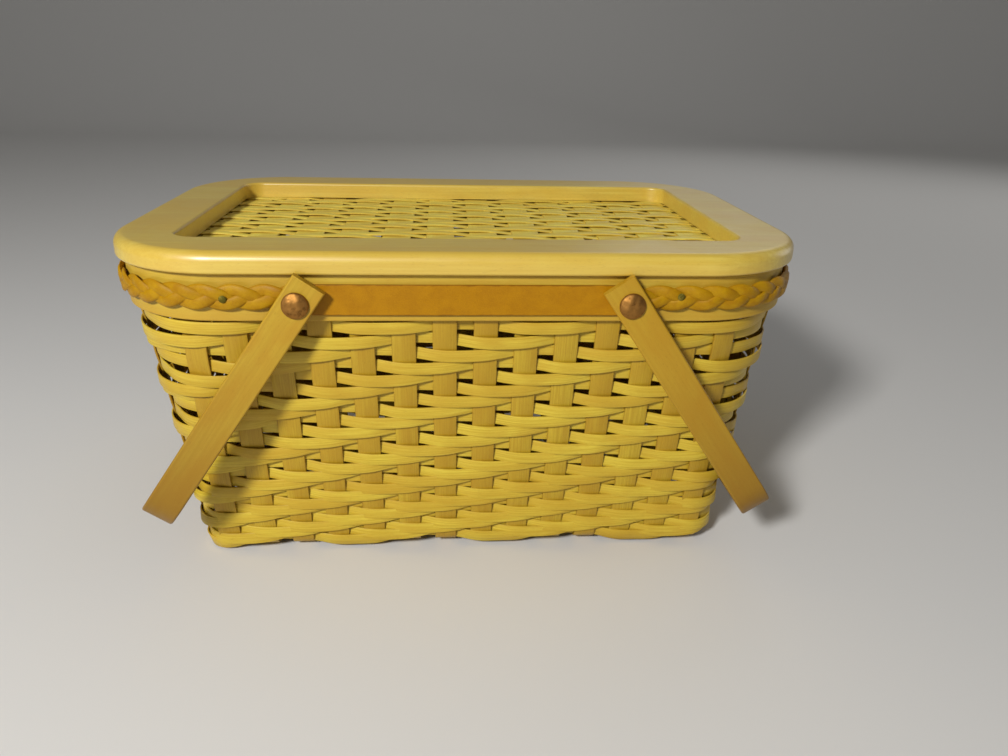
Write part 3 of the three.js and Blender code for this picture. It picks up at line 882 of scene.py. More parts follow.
@dataclass(frozen=True)
class LeatherFinish(Finish):
    """Tan leather with a fine pore pattern and darker edges, partly burnished and partly painted shade."""

    light: Color
    dark: Color
    # Darkens the pores' creases and the edges; at the edges it is partly painted shade.
    burnt: Color
    pore: float = 0.7 * MM
    gloss: tuple[float, float] = (0.42, 0.56)
    band: float = 0.1
    edging: float = 0.6

    def sockets(self, tree: NodeTree) -> dict[str, object]:
        """Darkens the creases between the pores, and the edges.

        Args:
            tree: The material's nodes.

        Returns:
            What feeds the shader.
        """
        place = tree.add("ShaderNodeUVMap", uv_map="Strip").outputs[0]
        tone = tree.noise(place, scale=130.0, detail=5.0, roughness=0.65, distortion=0.2)
        cells = {"Vector": place, "Scale": 1 / self.pore}
        pores = tree.add("ShaderNodeTexVoronoi", cells, feature="DISTANCE_TO_EDGE")
        crease = tree.spread(pores.outputs["Distance"], 0.0, 0.16)
        color = tree.mix(tree.spread(tone, 0.3, 0.7), self.dark, self.light)
        color = tree.mix(tree.spread(crease, 0.0, 1.0, 0.18, 0.0), color, self.burnt)
        # Darker edges: partly burnished, partly painted shade along the shadow lines at the edges.
        color = tree.mix(self.edge(tree, place, self.band, self.edging), color, self.burnt)
        return {"Base Color": color, "Roughness": self.rubbed(tree, place, self.gloss),
                "Normal": tree.bump(crease, strength=0.3, distance=0.08 * MM), "Specular IOR Level": 0.18}


@dataclass(frozen=True)
class MetalFinish(Finish):
    """Aged and dented metal, with a tarnish that gathers in patches."""

    bright: Color
    tarnish: Color
    spread: tuple[float, float]
    gloss: tuple[float, float]
    dent: float = 0.1 * MM
    dent_size: float = 1.1 * MM

    def sockets(self, tree: NodeTree) -> dict[str, object]:
        """Dulls and darkens the patches.

        Args:
            tree: The material's nodes.

        Returns:
            What feeds the shader.
        """
        place = tree.add("ShaderNodeTexCoord").outputs["Object"]
        patches = tree.noise(place, scale=420.0, detail=4.0, roughness=0.6, distortion=0.3)
        dents = tree.noise(place, scale=1 / self.dent_size, detail=2.0)
        mask = tree.spread(patches, *self.spread)
        return {"Base Color": tree.mix(mask, self.bright, self.tarnish), "Metallic": 1.0,
                "Roughness": tree.spread(mask, 0.0, 1.0, *self.gloss),
                "Normal": tree.bump(dents, strength=0.4, distance=self.dent)}


@dataclass(frozen=True)
class PaperFinish(Finish):
    """The plain matt paper of the studio's floor."""

    color: Color

    def sockets(self, tree: NodeTree) -> dict[str, object]:
        """One even colour."""
        return {"Base Color": self.color, "Roughness": 0.9, "Specular IOR Level": 0.1}


WEAVER_MAPLE = MapleFinish("Weaver maple", light=(222, 198, 68), dark=(194, 163, 42), warm=(189, 148, 36),
                           sawn=(146, 102, 24), edging=0.18)
# The splints' darker edges are mostly painted shade: the shadow lines beside the weavers.
SPLINT_MAPLE = MapleFinish("Splint maple", light=(201, 172, 48), dark=(181, 147, 33), warm=(174, 131, 26),
                           sawn=(120, 80, 16), edging=0.4)
BAND_MAPLE = MapleFinish("Band maple", light=(202, 174, 62), dark=(188, 154, 46), warm=(188, 144, 38),
                         sawn=(142, 100, 26), along=16.0, across=900.0)
HANDLE_MAPLE = MapleFinish("Handle maple", light=(191, 157, 42), dark=(179, 143, 32), warm=(180, 135, 25),
                           sawn=(118, 78, 10), along=12.0, across=500.0, warmth=0.8, edging=0.1,
                           arm_darkening=0.75)
LID_MAPLE = MapleFinish("Lid maple", light=(222, 196, 86), dark=(208, 177, 66), warm=(210, 170, 58),
                        sawn=(156, 116, 40), grain=GrainFrom.BOARD, along=14.0, across=600.0,
                        warmth=0.4, gloss=(0.40, 0.52), varnish=0.7, sheen=0.6)
# Painted light: the same maple as the weavers, made lighter to stand in for the light on the recessed panel.
LIGHTENED_PANEL_MAPLE = MapleFinish("Lid panel maple lightened", light=(246, 228, 102), dark=(232, 208, 78),
                          warm=(226, 188, 66), sawn=(160, 118, 34), edging=0.5)
BAND_LEATHER = LeatherFinish("Band leather", light=(178, 124, 3), dark=(168, 114, 2), burnt=(112, 68, 2))
BRAID_LEATHER = LeatherFinish("Braid leather", light=(182, 138, 8), dark=(162, 114, 3), burnt=(116, 74, 2),
                              pore=0.5 * MM, band=0.12, edging=0.2)
RIVET_COPPER = MetalFinish("Rivet copper", bright=(162, 116, 58), tarnish=(92, 58, 26), spread=(0.5, 0.8),
                           gloss=(0.56, 0.68), dent=0.5 * MM, dent_size=2.2 * MM)
TACK_BRASS = MetalFinish("Tack brass", bright=(160, 142, 60), tarnish=(112, 102, 40), spread=(0.3, 0.6),
                         gloss=(0.6, 0.75))
FLOOR_PAPER = PaperFinish("Floor paper", color=(226, 224, 220))


# Making pieces


def shaded(bm: BMesh, name: str, sharp: float = 50.0) -> Mesh:
    """Turns the faces of a bmesh outwards and makes it a mesh with smooth faces and sharp corners.

    Args:
        bm: The bmesh, which is freed.
        name: The mesh's name.
        sharp: The angle in degrees past which a corner is sharp.

    Returns:
        The mesh.
    """
    bm.normal_update()
    bmesh.ops.recalc_face_normals(bm, faces=bm.faces)
    mesh = bpy.data.meshes.new(name)
    bm.to_mesh(mesh)
    bm.free()
    mesh.shade_smooth()
    mesh.set_sharp_from_angle(angle=math.radians(sharp))
    return mesh


def joined(name: str, meshes: list[Mesh]) -> Mesh:
    """Puts several meshes into one and removes them.

    Args:
        name: The new mesh's name.
        meshes: The meshes.

    Returns:
        The new mesh.
    """
    bm = bmesh.new()
    for part in meshes:
        bm.from_mesh(part)
        bpy.data.meshes.remove(part)
    return shaded(bm, name)


def finished(mesh: Mesh, node: str, body: str, finish: Finish, flat: bool = False) -> None:
    """Puts a mesh in the scene as a piece of the basket.

    Args:
        mesh: The mesh, already in place, whose name the piece takes.
        node: The solid that it stands for, or nothing where it is a detail of its own.
        body: The body that it moves with.
        finish: What its surface looks like.
        flat: Whether its flat faces stay flat in the light beside its rounded edges.
    """
    piece = bpy.data.objects.new(mesh.name, mesh)
    bpy.context.scene.collection.objects.link(piece)
    if node:
        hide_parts(node)
    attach(piece, body)
    mesh.materials.append(finish.material())
    if flat:
        piece.modifiers.new("Flat faces", "WEIGHTED_NORMAL").keep_sharp = True
    log.info("%s: %d faces, on %s", piece.name, len(mesh.polygons), body)


@dataclass(frozen=True)
class Cut:
    """Where strips are cut from their board, each one further on, so that no two look the same."""

    along: float
    across: float
    next_along: float
    next_across: float

    def place(self, number: int, further: float = 0.0) -> tuple[float, float]:
        """Where one strip is cut."""
        return self.along + self.next_along * number + further, self.across + self.next_across * number


@dataclass(frozen=True)
class FlatStrip:
    """A long flat strip with eased edges, cut to size before it is bent."""

    length: float
    width: float
    thickness: float
    ease: float
    steps: int
    ease_steps: int = 2
    closed: bool = False

    def mesh(self, name: str, bend: Bend, start: tuple[float, float]) -> Mesh:
        """Cuts the strip and bends it.

        Args:
            name: The mesh's name.
            bend: Turns distances along, across and off the flat strip into points.
            start: Where the strip was cut from its board.

        Returns:
            The bent mesh, with the flat strip as its UV map and the place across it as an attribute.
        """
        bm = bmesh.new()
        bmesh.ops.create_cube(bm, size=1.0)
        bmesh.ops.translate(bm, vec=(0.5, 0, 0), verts=bm.verts)
        bmesh.ops.scale(bm, vec=(self.length, self.width, self.thickness), verts=bm.verts)
        bmesh.ops.bevel(bm, geom=self._long_edges(bm), offset=self.ease, affect="EDGES",
                        segments=self.ease_steps, profile=0.5, material=-1)
        bmesh.ops.subdivide_edges(bm, edges=self._long_edges(bm), cuts=self.steps - 1, use_grid_fill=True)
        if self.closed:
            ends = [f for f in bm.faces if abs(f.normal.x) > 0.9]
            bmesh.ops.delete(bm, geom=ends, context="FACES")
        strip_map = bm.loops.layers.uv.new("Strip")
        place_across = bm.verts.layers.float.new("across")
        for face in bm.faces:
            for loop in face.loops:
                loop[strip_map].uv = (loop.vert.co.x + start[0], loop.vert.co.y + start[1])
        flat = np.array([vert.co[:] for vert in bm.verts])
        for vert, point in zip(bm.verts, bend(*flat.T)):
            vert[place_across] = vert.co.y * 2 / self.width
            vert.co = point
        if self.closed:
            bmesh.ops.remove_doubles(bm, verts=bm.verts, dist=MERGE)
        return shaded(bm, name)

    def _long_edges(self, bm: BMesh) -> list[bmesh.types.BMEdge]:
        """The edges that run the whole length of the flat strip."""
        return [e for e in bm.edges if abs(e.verts[0].co.x - e.verts[1].co.x) > self.length / 2]


# The basket's pieces


@dataclass
class Weave:
    """The 26 rows of weaving and the 22 splints of the body.

    The solids have 24 weavers. Each of the two lowest stands for two of the crowded rows at the foot.
    """

    walls: WovenWalls
    weaver_width: float = 6.3 * MM
    weaver_thickness: float = 0.8 * MM
    weaver_ease: float = 0.22 * MM
    weaver_steps: int = 352
    weaver_cut: Cut = Cut(0.0, 0.0, 0.37, 0.031)
    splint_ease: float = 0.25 * MM
    splint_steps: int = 190
    splint_cut: Cut = Cut(1.3, 2.0, 0.41, 0.043)
    solid_weavers: int = 24
    crowded: int = 2

    def build(self) -> None:
        """Weaves the whole body."""
        shape = self.walls.shape
        single = self.solid_weavers - self.crowded
        groups = [[row] for row in range(single)]
        groups += [[row, row + 1] for row in range(single, shape.row_count, 2)]
        for number, rows in enumerate(groups, start=1):
            self.weaver(f"weaver_{number:02d}", rows)
        for index in range(shape.cross_count):
            self.splint(Wall.FRONT, index, f"cross_splint_{index + 1:02d}")
        for index in range(shape.long_count):
            self.splint(Wall.RIGHT, index, f"long_splint_{index + 1:02d}")

    def weaver(self, node: str, rows: list[int]) -> None:
        """Makes one weaver, or the two crowded ones that one solid stands for.

        Args:
            node: The solid that they stand for.
            rows: Their rows, from the top.
        """
        strips = []
        for row in rows:
            strip = FlatStrip(self.walls.row_line(row).length, self.weaver_width, self.weaver_thickness,
                              self.weaver_ease, self.weaver_steps, closed=True)
            strips.append(strip.mesh("row", self.walls.weaver(row), self.weaver_cut.place(row)))
        finished(joined(f"{node}_woven", strips), node, "basket", WEAVER_MAPLE)

    def splint(self, wall: Wall, index: int, node: str) -> None:
        """Makes one splint.

        Args:
            wall: The wall that it starts from.
            index: Its number in that wall.
            node: The solid that it stands for.
        """
        shape = self.walls.shape
        length, bend = self.walls.splint(wall, index)
        strip = FlatStrip(length, shape.stake_width, shape.splint_thickness, self.splint_ease,
                          self.splint_steps)
        mesh = strip.mesh(f"{node}_woven", bend, self.splint_cut.place(index, wall.value))
        finished(mesh, node, "basket", SPLINT_MAPLE)


@dataclass
class Rim:
    """The two bent bands that clamp the tops of the splints."""

    shape: BasketShape
    below_foot: float = 1.2 * MM
    ease: float = 0.7 * MM
    steps: int = 260
    cut: Cut = Cut(3.1, 3.1, 1.6, 1.6)

    def build(self) -> None:
        """Bends both bands."""
        shape = self.shape
        half = shape.rim_thickness / 2
        self.band("inner_rim_band", -(shape.splint_thickness / 2 + shape.fit_gap + half), 0)
        self.band("outer_rim_band", shape.outer_rim_standoff + half, 1)

    def band(self, node: str, out: float, number: int) -> None:
        """Bends one band round the rim.

        Args:
            node: The solid that it stands for.
            out: From the rim line to the band's middle.
            number: Its number on the board that both were cut from.
        """
        shape = self.shape
        line = shape.rim_line(out)
        height = shape.rim_height + self.below_foot
        middle = shape.rim_top - height / 2

        def bend(along: Array, across: Array, off: Array) -> Array:
            """Bends the strip round the rim, from the middle of the back."""
            point, outward = line.at(along + line.length / 2)
            return np.column_stack([point + outward * off[:, None], middle + across])

        strip = FlatStrip(line.length, height, shape.rim_thickness, self.ease, self.steps, ease_steps=3,
                          closed=True)
        mesh = strip.mesh(f"{node}_bent", bend, self.cut.place(number))
        finished(mesh, node, "basket", BAND_MAPLE, flat=True)


@dataclass
class LeatherTrim:
    """The plain leather bands, the braids, and the tacks that hold the braids."""

    shape: BasketShape
    strap_height: float = 15.1 * MM
    strap_foot: float = 2.3 * MM
    strap_thickness: float = 1.6 * MM
    strap_ease: float = 0.45 * MM
    strap_steps: int = 60
    strap_cut: Cut = Cut(0.2, 0.1, 1.0, 0.0)
    ripple: float = 0.12 * MM
    ripple_rate: float = 41.0
    braid_top: float = 4.3 * MM
    braid_height: float = 12.8 * MM
    braid_end_gap: float = 0.5 * MM
    braid_off_band: float = 0.1 * MM
    strand_width: float = 5.8 * MM
    strand_thickness: float = 2.5 * MM
    strand_ease: float = 1.15 * MM
    strand_swing: float = 3.5 * MM
    strand_depth: float = 0.75 * MM
    strand_camber: float = 0.85
    strand_steps: int = 420
    strand_cut: Cut = Cut(0.0, 0.0, 0.6, 0.05)
    edge_roll: float = 0.5 * MM
    plait_length: float = 42 * MM
    wobble: float = 0.14
    wobble_rate: float = 61.0
    wobble_shift: float = 2.1
    tack_radius: float = 1.9 * MM
    tack_rim: float = 0.5 * MM
    tack_flatness: float = 0.35
    tack_sunk: float = 0.35 * MM

    def build(self) -> None:
        """Makes all the trim, with four tacks: two in front and two behind."""
        self.strap("front_leather_band", -1)
        self.strap("back_leather_band", 1)
        self.braid("left_braid", -1)
        self.braid("right_braid", 1)
        self.tack("front_left_tack", -113 * MM, -1, 11.1 * MM)
        self.tack("front_right_tack", 104 * MM, -1, 9.5 * MM)
        self.tack("back_left_tack", -106 * MM, 1, 10.3 * MM)
        self.tack("back_right_tack", 110 * MM, 1, 9.9 * MM)

    def strap(self, node: str, side: int) -> None:
        """Makes one plain band.

        Args:
            node: The solid that it stands for.
            side: -1 for the front, 1 for the back.
        """
        shape = self.shape
        half = shape.rivet_x + shape.strap_past_rivet
        middle = shape.wall_height + self.strap_foot + self.strap_height / 2
        depth = shape.rim_half_y + shape.leather_back + self.strap_thickness / 2

        def bend(along: Array, across: Array, off: Array) -> Array:
            """Lays the strip along the rim with a slight ripple between its ends."""
            faded = self.ripple * np.sin(along / (2 * half) * math.pi)
            swell = faded * np.sin(along * self.ripple_rate + side)
            return np.column_stack([along - half, side * (depth + off + swell), middle + across])

        strip = FlatStrip(2 * half, self.strap_height, self.strap_thickness, self.strap_ease,
                          self.strap_steps, ease_steps=3)
        mesh = strip.mesh(f"{node}_cut", bend, self.strap_cut.place(side))
        finished(mesh, node, "basket", BAND_LEATHER, flat=True)

    def braid(self, node: str, side: int) -> None:
        """Plaits one braid of three strands round its end of the basket.

        Args:
            node: The solid that it stands for.
            side: -1 for the left end, 1 for the right.
        """
        shape = self.shape
        line = shape.rim_line(shape.leather_back + self.strand_depth + self.strand_thickness / 2
                              + self.braid_off_band)
        start = shape.rivet_x + shape.strap_past_rivet + self.braid_end_gap
        length = line.length / 2 - 2 * start
        middle = shape.rim_top - self.braid_top - self.braid_height / 2
        turn = math.tau / self.plait_length

        def strand(number: int) -> Bend:
            """The bend of one strand."""
            def bend(along: Array, across: Array, off: Array) -> Array:
                """Swings the strip up and down and in and out on its way round the end."""
                uneven = self.wobble * np.sin(self.wobble_rate * along + self.wobble_shift * number)
                phase = turn * along + number * math.tau / 3 + uneven
                slope = self.strand_swing * turn * np.cos(phase)
                leaning = np.sqrt(1 + slope * slope)
                run = np.clip(start + along - across * slope / leaning, start, start + length)
                point, outward = line.at(run)
                crown = 1 - self.strand_camber * (2 * across / self.strand_width) ** 2
                height = middle + self.strand_swing * np.sin(phase) + across / leaning
                rolled = self.edge_roll * ((height - middle) * 2 / self.braid_height) ** 2
                depth = self.strand_depth * np.sin(2 * phase) + off * crown - rolled
                flat = point + outward * depth[:, None]
                return np.column_stack([side * flat[:, 0], -side * flat[:, 1], height])

            return bend

        strip = FlatStrip(length, self.strand_width, self.strand_thickness, self.strand_ease,
                          self.strand_steps, ease_steps=3)
        laces = [strip.mesh("lace", strand(n), self.strand_cut.place(n, side)) for n in range(3)]
        finished(joined(f"{node}_plaited", laces), node, "basket", BRAID_LEATHER)

    def tack(self, name: str, x: float, side: int, below_rim_top: float) -> None:
        """Drives one domed tack through a braid.

        Args:
            name: The tack's name.
            x: Where it is along the basket.
            side: -1 in front, 1 behind.
            below_rim_top: How far it is below the rim's upper edge.
        """
        shape = self.shape
        face = shape.rim_half_y + shape.leather_back + 2 * self.strand_depth + self.strand_thickness
        place = (x, side * (face - self.tack_sunk), shape.rim_top - below_rim_top)
        bm = bmesh.new()
        bmesh.ops.create_uvsphere(bm, u_segments=20, v_segments=12, radius=self.tack_radius)
        below = bmesh.ops.bisect_plane(bm, geom=bm.verts[:] + bm.edges[:] + bm.faces[:],
                                       plane_co=(0, 0, self.tack_rim), plane_no=(0, 0, -1), clear_outer=True)
        rim = [e for e in below["geom_cut"] if isinstance(e, bmesh.types.BMEdge)]
        bmesh.ops.holes_fill(bm, edges=rim)
        bmesh.ops.scale(bm, vec=(1, 1, self.tack_flatness), verts=bm.verts)
        bmesh.ops.rotate(bm, matrix=Matrix.Rotation(-side * QUARTER, 3, "X"), verts=bm.verts)
        bmesh.ops.translate(bm, vec=place, verts=bm.verts)
        finished(shaded(bm, name), "", "basket", TACK_BRASS)


@dataclass
class Handle:
    """One bentwood handle, with two arms and a grip."""

    shape: BasketShape
    side: int
    hang: float = math.radians(34.574)
    reach: float = 145 * MM
    tail: float = 12 * MM
    width: float = 17 * MM
    bend_radius: float = 20 * MM
    ease: float = 1.1 * MM
    steps: int = 220
    darkening_power: float = 1.5
    cut: Cut = Cut(6.0, 1.0, 1.0, 0.0)

    def build(self) -> None:
        """Bends the handle, hangs it from its rivets and marks how far each point is down its arms."""
        shape = self.shape
        name = "left_handle" if self.side < 0 else "right_handle"
        middle = shape.arm_inner_face + shape.handle_thickness / 2
        straight = middle - self.bend_radius
        bend_at = self.reach - self.bend_radius
        corner = QUARTER * self.bend_radius
        stops = np.cumsum([0, self.tail + bend_at, corner, 2 * straight, corner, bend_at + self.tail])
        down = np.array([self.side * math.sin(self.hang), 0, -math.cos(self.hang)])
        broad = np.array([math.cos(self.hang), 0, self.side * math.sin(self.hang)])
        pivot = np.array([self.side * shape.rivet_x, 0, shape.rivet_z])

        def bend(along: Array, across: Array, off: Array) -> Array:
            """Bends the strip down the front arm, along the grip and up the back arm."""
            turn = np.interp(along, stops, np.array([0, 0, 1, 1, 2, 2]) * QUARTER)
            centre = np.interp(along, stops, [-self.tail, bend_at, bend_at, bend_at, bend_at, -self.tail])
            centre_y = np.interp(along, stops, np.array([-1, -1, -1, 1, 1, 1]) * straight)
            radius = self.bend_radius + off
            reached = centre + radius * np.sin(turn)
            points = pivot + reached[:, None] * down + across[:, None] * broad
            points[:, 1] += centre_y - radius * np.cos(turn)
            return points

        strip = FlatStrip(float(stops[-1]), self.width, shape.handle_thickness, self.ease, self.steps,
                          ease_steps=3)
        mesh = strip.mesh(f"{name}_bentwood", bend, self.cut.place(self.side))
        # How far down its arm each point is, by which the arm's colour darkens towards the grip.
        down_arm = mesh.attributes.new("down_arm", "FLOAT", "POINT")
        for vert, value in zip(mesh.vertices, down_arm.data):
            share = (vert.co - Vector(pivot)).dot(Vector(down)) / self.reach
            value.value = max(0.0, min(1.0, share)) ** self.darkening_power
        finished(mesh, name, name, HANDLE_MAPLE, flat=True)


@dataclass
class Rivets:
    """The four domed rivets that the handles swing on."""

    shape: BasketShape
    head_radius: float = 6.35 * MM
    head_height: float = 3.3 * MM
    head_lip: float = 0.7 * MM
    head_ease: float = 0.3 * MM
    head_gap: float = 0.05 * MM
    dome_start: float = 0.12
    dome_steps: int = 12
    burr_radius: float = 5 * MM
    burr_thickness: float = 1.2 * MM
    burr_ease: float = 0.4 * MM
    hammer_mark: float = 0.4 * MM
    mark_spacing: float = 6.2 * MM
    marks_from: float = 0.4
    first_turn: float = 0.6
    next_turn: float = 0.5
    sides: int = 40

    def build(self) -> None:
        """Turns all four."""
        for depth, side in (("front", -1), ("back", 1)):
            for end, way in (("left", -1), ("right", 1)):
                self.rivet(f"{depth}_{end}_rivet", way, side)

    def rivet(self, node: str, way: int, side: int) -> None:
        """Turns one rivet.

        Args:
            node: The solid that it stands for.
            way: -1 on the left, 1 on the right.
            side: -1 in front, 1 behind.
        """
        shape = self.shape
        inner = shape.rim_half_y - shape.splint_thickness / 2 - shape.rim_thickness - 2 * shape.fit_gap
        foot = shape.arm_inner_face + shape.handle_thickness + self.head_gap
        dome_foot = foot + self.head_lip
        rise = self.head_height - self.head_lip
        burr_foot = inner - self.burr_thickness
        dome = [(self.head_radius * math.cos(a), dome_foot + rise * math.sin(a))
                for a in np.linspace(self.dome_start, QUARTER, self.dome_steps)]
        outline = [(0.0, burr_foot), (self.burr_radius - self.burr_ease, burr_foot),
                   (self.burr_radius, burr_foot + self.burr_ease), (self.burr_radius, inner),
                   (shape.rivet_shank_radius, inner), (shape.rivet_shank_radius, foot),
                   (self.head_radius - self.head_ease, foot), (self.head_radius, foot + self.head_ease),
                   *dome[:-1], (0.0, dome[-1][1])]
        bm = bmesh.new()
        verts = [bm.verts.new((radius, 0, height)) for radius, height in outline]
        edges = [bm.edges.new(pair) for pair in zip(verts, verts[1:])]
        bmesh.ops.spin(bm, geom=verts + edges, cent=(0, 0, 0), axis=(0, 0, 1), dvec=(0, 0, 0),
                       angle=math.tau, steps=self.sides, use_merge=True)
        bmesh.ops.remove_doubles(bm, verts=bm.verts, dist=MERGE / 2)
        self.hammered(bm, dome_foot, seed=2 * way + side)
        bmesh.ops.rotate(bm, matrix=Matrix.Rotation(-side * QUARTER, 3, "X"), verts=bm.verts)
        bmesh.ops.translate(bm, vec=(way * shape.rivet_x, 0, shape.rivet_z), verts=bm.verts)
        finished(shaded(bm, f"{node}_turned"), node, "basket", RIVET_COPPER)

    def hammered(self, bm: BMesh, dome_foot: float, seed: int) -> None:
        """Dents a dome as the hammer that closed the rivet left it, but not its edge.

        Args:
            bm: The turned rivet, with its head upwards.
            dome_foot: Height at which the dome begins.
            seed: Turns the marks, so that no two rivets are alike.
        """
        turn = Matrix.Rotation(self.first_turn + self.next_turn * seed, 3, "Z")
        fade = self.marks_from * self.head_height
        wave = math.tau / self.mark_spacing
        for vert in bm.verts:
            depth = min(1.0, max(0.0, (vert.co.z - dome_foot) / fade))
            place = turn @ vert.co
            mark = math.cos(wave * place.x) * math.cos(wave * place.y)
            vert.co.z -= self.hammer_mark * depth * (0.5 + 0.5 * mark)


@dataclass(frozen=True)
class Edge:
    """One edge of a section that is swept round the lid, and how it is rounded."""

    line: RoundedRectangle
    height: float
    round: float = 0.0
    segments: int = 0


@dataclass
class Lid:
    """The lid: a solid frame with rounded edges, and a woven panel let into it from below."""

    shape: BasketShape
    thickness: float = 10.8 * MM
    rail_width: float = 33.5 * MM
    corner_radius: float = 62 * MM
    opening_radius: float = 11.5 * MM
    top_round: float = 5.2 * MM
    bottom_round: float = 1.6 * MM
    inner_round: float = 1.6 * MM
    panel_middle: float = 11 * MM
    rebate_roof: float = 9.7 * MM
    panel_tuck: float = 5 * MM
    tongue_width: float = 8 * MM
    tongue_depth: float = 5.5 * MM
    tongue_play: float = 1.2 * MM
    tongue_round: float = 0.8 * MM
    corner_steps: int = 22
    straight_steps: int = 6

    def build(self) -> None:
        """Makes the frame and weaves the panel."""
        self.frame()
        inside = self.rail_width - self.panel_tuck + self.shape.fit_gap
        hole = self._from_edge(inside, 0.0)
        middle = self.shape.rim_top + self.shape.fit_gap + self.thickness - self.panel_middle
        LidPanel(hole.half_x, hole.half_y, middle).build()

    def _from_edge(self, inside: float, radius: float) -> RoundedRectangle:
        """A line inside the lid's outer edge."""
        out = self.shape.lid_overhang - inside
        return RoundedRectangle(self.shape.rim_half_x + out, self.shape.rim_half_y + out, radius)

    def _section(self) -> list[Edge]:
        """The frame's section, from the tongue outwards, round over the top and back.

        Returns:
            Its edges.
        """
        shape = self.shape
        bottom = shape.rim_top + shape.fit_gap
        top = bottom + self.thickness
        roof = top - self.rebate_roof
        foot = bottom - self.tongue_depth
        tongue = shape.splint_thickness / 2 + shape.fit_gap + shape.rim_thickness + self.tongue_play
        outer = self._from_edge(0, self.corner_radius)
        inner = self._from_edge(self.rail_width, self.opening_radius)
        tucked = self._from_edge(self.rail_width - self.panel_tuck, self.opening_radius + self.panel_tuck)
        tongue_outer = shape.rim_line(-tongue)
        tongue_inner = shape.rim_line(-tongue - self.tongue_width)
        return [
            Edge(tongue_outer, bottom),
            Edge(outer, bottom, self.bottom_round, 6),
            Edge(outer, top, self.top_round, 8),
            Edge(inner, top, self.inner_round, 4),
            Edge(inner, roof),
            Edge(tucked, roof),
            Edge(tucked, bottom),
            Edge(tongue_inner, bottom),
            Edge(tongue_inner, foot, self.tongue_round, 2),
            Edge(tongue_outer, foot, self.tongue_round, 2),
        ]

    def frame(self) -> None:
        """Sweeps the frame's section round the lid and rounds its edges."""
        section = self._section()
        rows = len(section)
        half = self.straight_steps // 2
        spans = [half, *[self.corner_steps, self.straight_steps] * 3, self.corner_steps, half]
        parts = [first + np.arange(span) / span for first, span in enumerate(spans)]
        stations = np.concatenate([*parts, [len(spans)]])
        around = len(stations) - 1
        points = [np.column_stack([edge.line.at_station(stations)[0], np.full(around + 1, edge.height)])
                  for edge in section]
        bm = bmesh.new()
        row_of = bm.verts.layers.int.new("row")
        bmesh.ops.create_grid(bm, x_segments=around, y_segments=rows, size=0.5)
        for vert in bm.verts:
            vert[row_of] = round((vert.co.y + 0.5) * rows) % rows
            vert.co = points[vert[row_of]][round((vert.co.x + 0.5) * around)]
        bmesh.ops.remove_doubles(bm, verts=bm.verts, dist=MERGE)
        lengths = [[e for e in bm.edges if e.verts[0][row_of] == row == e.verts[1][row_of]]
                   for row in range(rows)]
        for edge, geom in zip(section, lengths):
            if edge.round:
                bmesh.ops.bevel(bm, geom=geom, offset=edge.round, affect="EDGES", segments=edge.segments,
                                profile=0.5, material=-1)
        mesh = shaded(bm, "lid_frame_routed", sharp=40.0)
        finished(mesh, "lid_frame", "lid", LID_MAPLE, flat=True)


